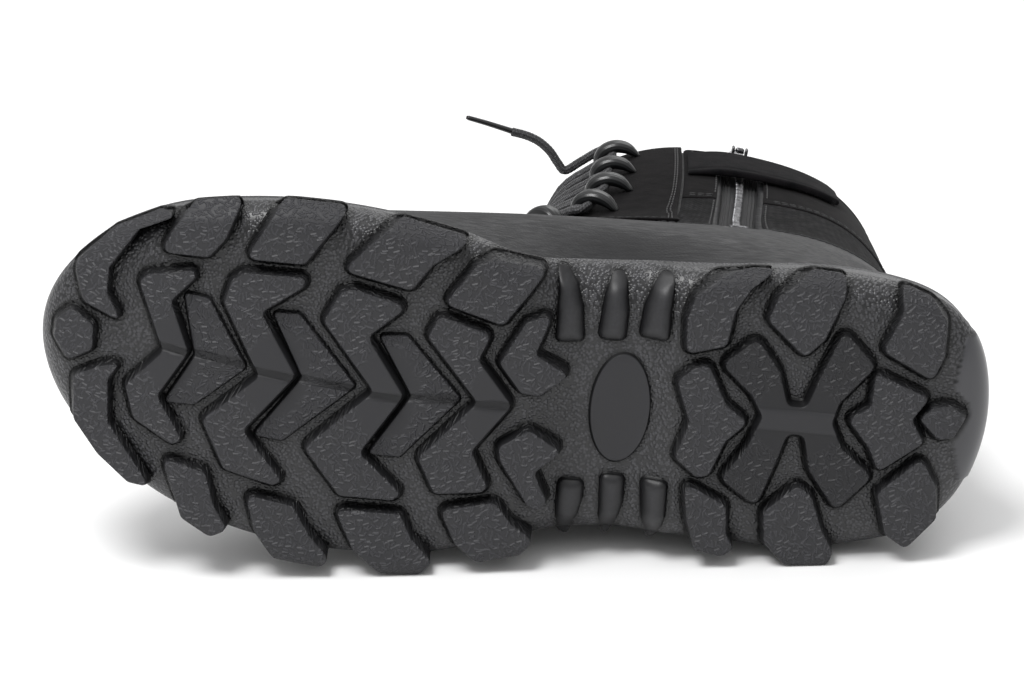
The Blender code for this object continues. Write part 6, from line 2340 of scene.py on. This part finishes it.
def stitch_lines():
    """Every row as level, girth and height: round both facings, along the band, beside the zip."""
    facing_high = FACING_GAP + FACING_THICKNESS + 0.12
    band_high = BAND_HEIGHT + 0.1
    rows = []
    for lateral in (False, True):
        level = between(ALONG, FACING_FOOT + 0.12, COLLAR - 0.12)
        back, front = facing_back(level), facing_front(level)
        for girth in (back + 0.011, back + 0.0165, front - 0.015):
            rows.append((level, on_side(girth, lateral), facing_high))
        ends = (facing_back(FACING_FOOT) + 0.016, facing_front(FACING_FOOT) - 0.018)
        rows.append((FACING_FOOT + 0.1, on_side(between(ALONG, *ends), lateral), facing_high))
    for _, start, end in QUARTERS:
        girth = between(ALONG, start + 0.008, end - 0.008)
        for lift in (0.09, 0.19):
            rows.append((lap_line(girth, BAND_FOOT, -0.55) + lift, girth, band_high))
        rows.append((COLLAR_SEAM, girth, band_high))
    for girth in (ZIP_GIRTH[0] - 0.013, ZIP_GIRTH[1] + 0.013):
        rows.append((between(ALONG, BAND_FOOT + 0.3, COLLAR_SEAM), girth, band_high))
        level = between(ALONG, KNIT_FOOT + 0.15, BAND_FOOT - 0.05)
        rows.append((level, girth, KNIT_HEIGHT + 0.1))
    return rows


def leather_lines():
    """Two rows under the smooth leather's top line, from throat to throat round the heel."""
    seams = [between(ALONG_LEATHER, *ends) for ends in LEATHER_SEAMS]
    return [(leather_top(girth) - drop, girth, 0.12) for drop in (0.1, 0.2) for girth in seams]


stitches = make_stitches("stitches_panels", stitch_lines())
leather_stitches = make_stitches("stitches_leather", leather_lines())
bead_faces = sum(len(faces) for faces in stitch_bead()[1:])
stitch_faces = sum(len(piece.data.polygons) for piece in (stitches, leather_stitches))
print("stitches:", stitch_faces // bead_faces)

# %% [markdown]
# ## Floor and light
#
# The boot lies on a pale seamless floor under soft studio light: a tent that is bright overhead and
# dim towards the horizon, and two soft lamps that give the relief of the tread a direction.

# %% Stage
FLOOR_REACH = 12.0


def make_floor():
    mesh = bpy.data.meshes.new("floor")
    signs = ((-1, -1), (1, -1), (1, 1), (-1, 1))
    corners = [(x * FLOOR_REACH, y * FLOOR_REACH, 0) for x, y in signs]
    mesh.from_pydata(corners, [], [(0, 1, 2, 3)])
    floor = bpy.data.objects.new("floor", mesh)
    bpy.context.scene.collection.objects.link(floor)
    dress(floor, new_material("paper_backdrop", "#f6f6f6", 0.75)[0])
    return floor


floor = make_floor()


def area_light(name, place, aim, size, watts):
    data = bpy.data.lights.new(name, "AREA")
    data.shape, data.size, data.energy = "DISK", size, watts
    light = bpy.data.objects.new(name, data)
    light.location = place
    light.rotation_euler = (Vector(aim) - Vector(place)).to_track_quat("-Z", "Y").to_euler()
    bpy.context.scene.collection.objects.link(light)


area_light("key_above", (-0.35, -0.45, 1.2), (0, 0, 0.05), 0.6, 12)
area_light("rim_behind", (0.5, 1.3, 1.1), (0, 0, 0.08), 1.2, 6)
world = bpy.data.worlds.new("studio")
world.use_nodes = True
sky = world.node_tree
direction = add_node(sky, "TexCoord", output="Generated")
upwards = add_node(sky, "SeparateXYZ", [direction], output=2)
dome = add_node(sky, "MapRange", [upwards, 0.2, 0.75, 0.3, 0.95])
backdrop = add_node(sky, "MapRange", [upwards, 0.05, 0.2, 0.45, 0.0])
brightness = add_node(sky, "Math", [dome, backdrop], operation="ADD")
sky.links.new(brightness, sky.nodes["Background"].inputs["Strength"])
sky.nodes["Background"].inputs["Color"].default_value = (1, 1, 1, 1)
bpy.context.scene.world = world
bpy.context.scene.view_settings.view_transform = "Standard"
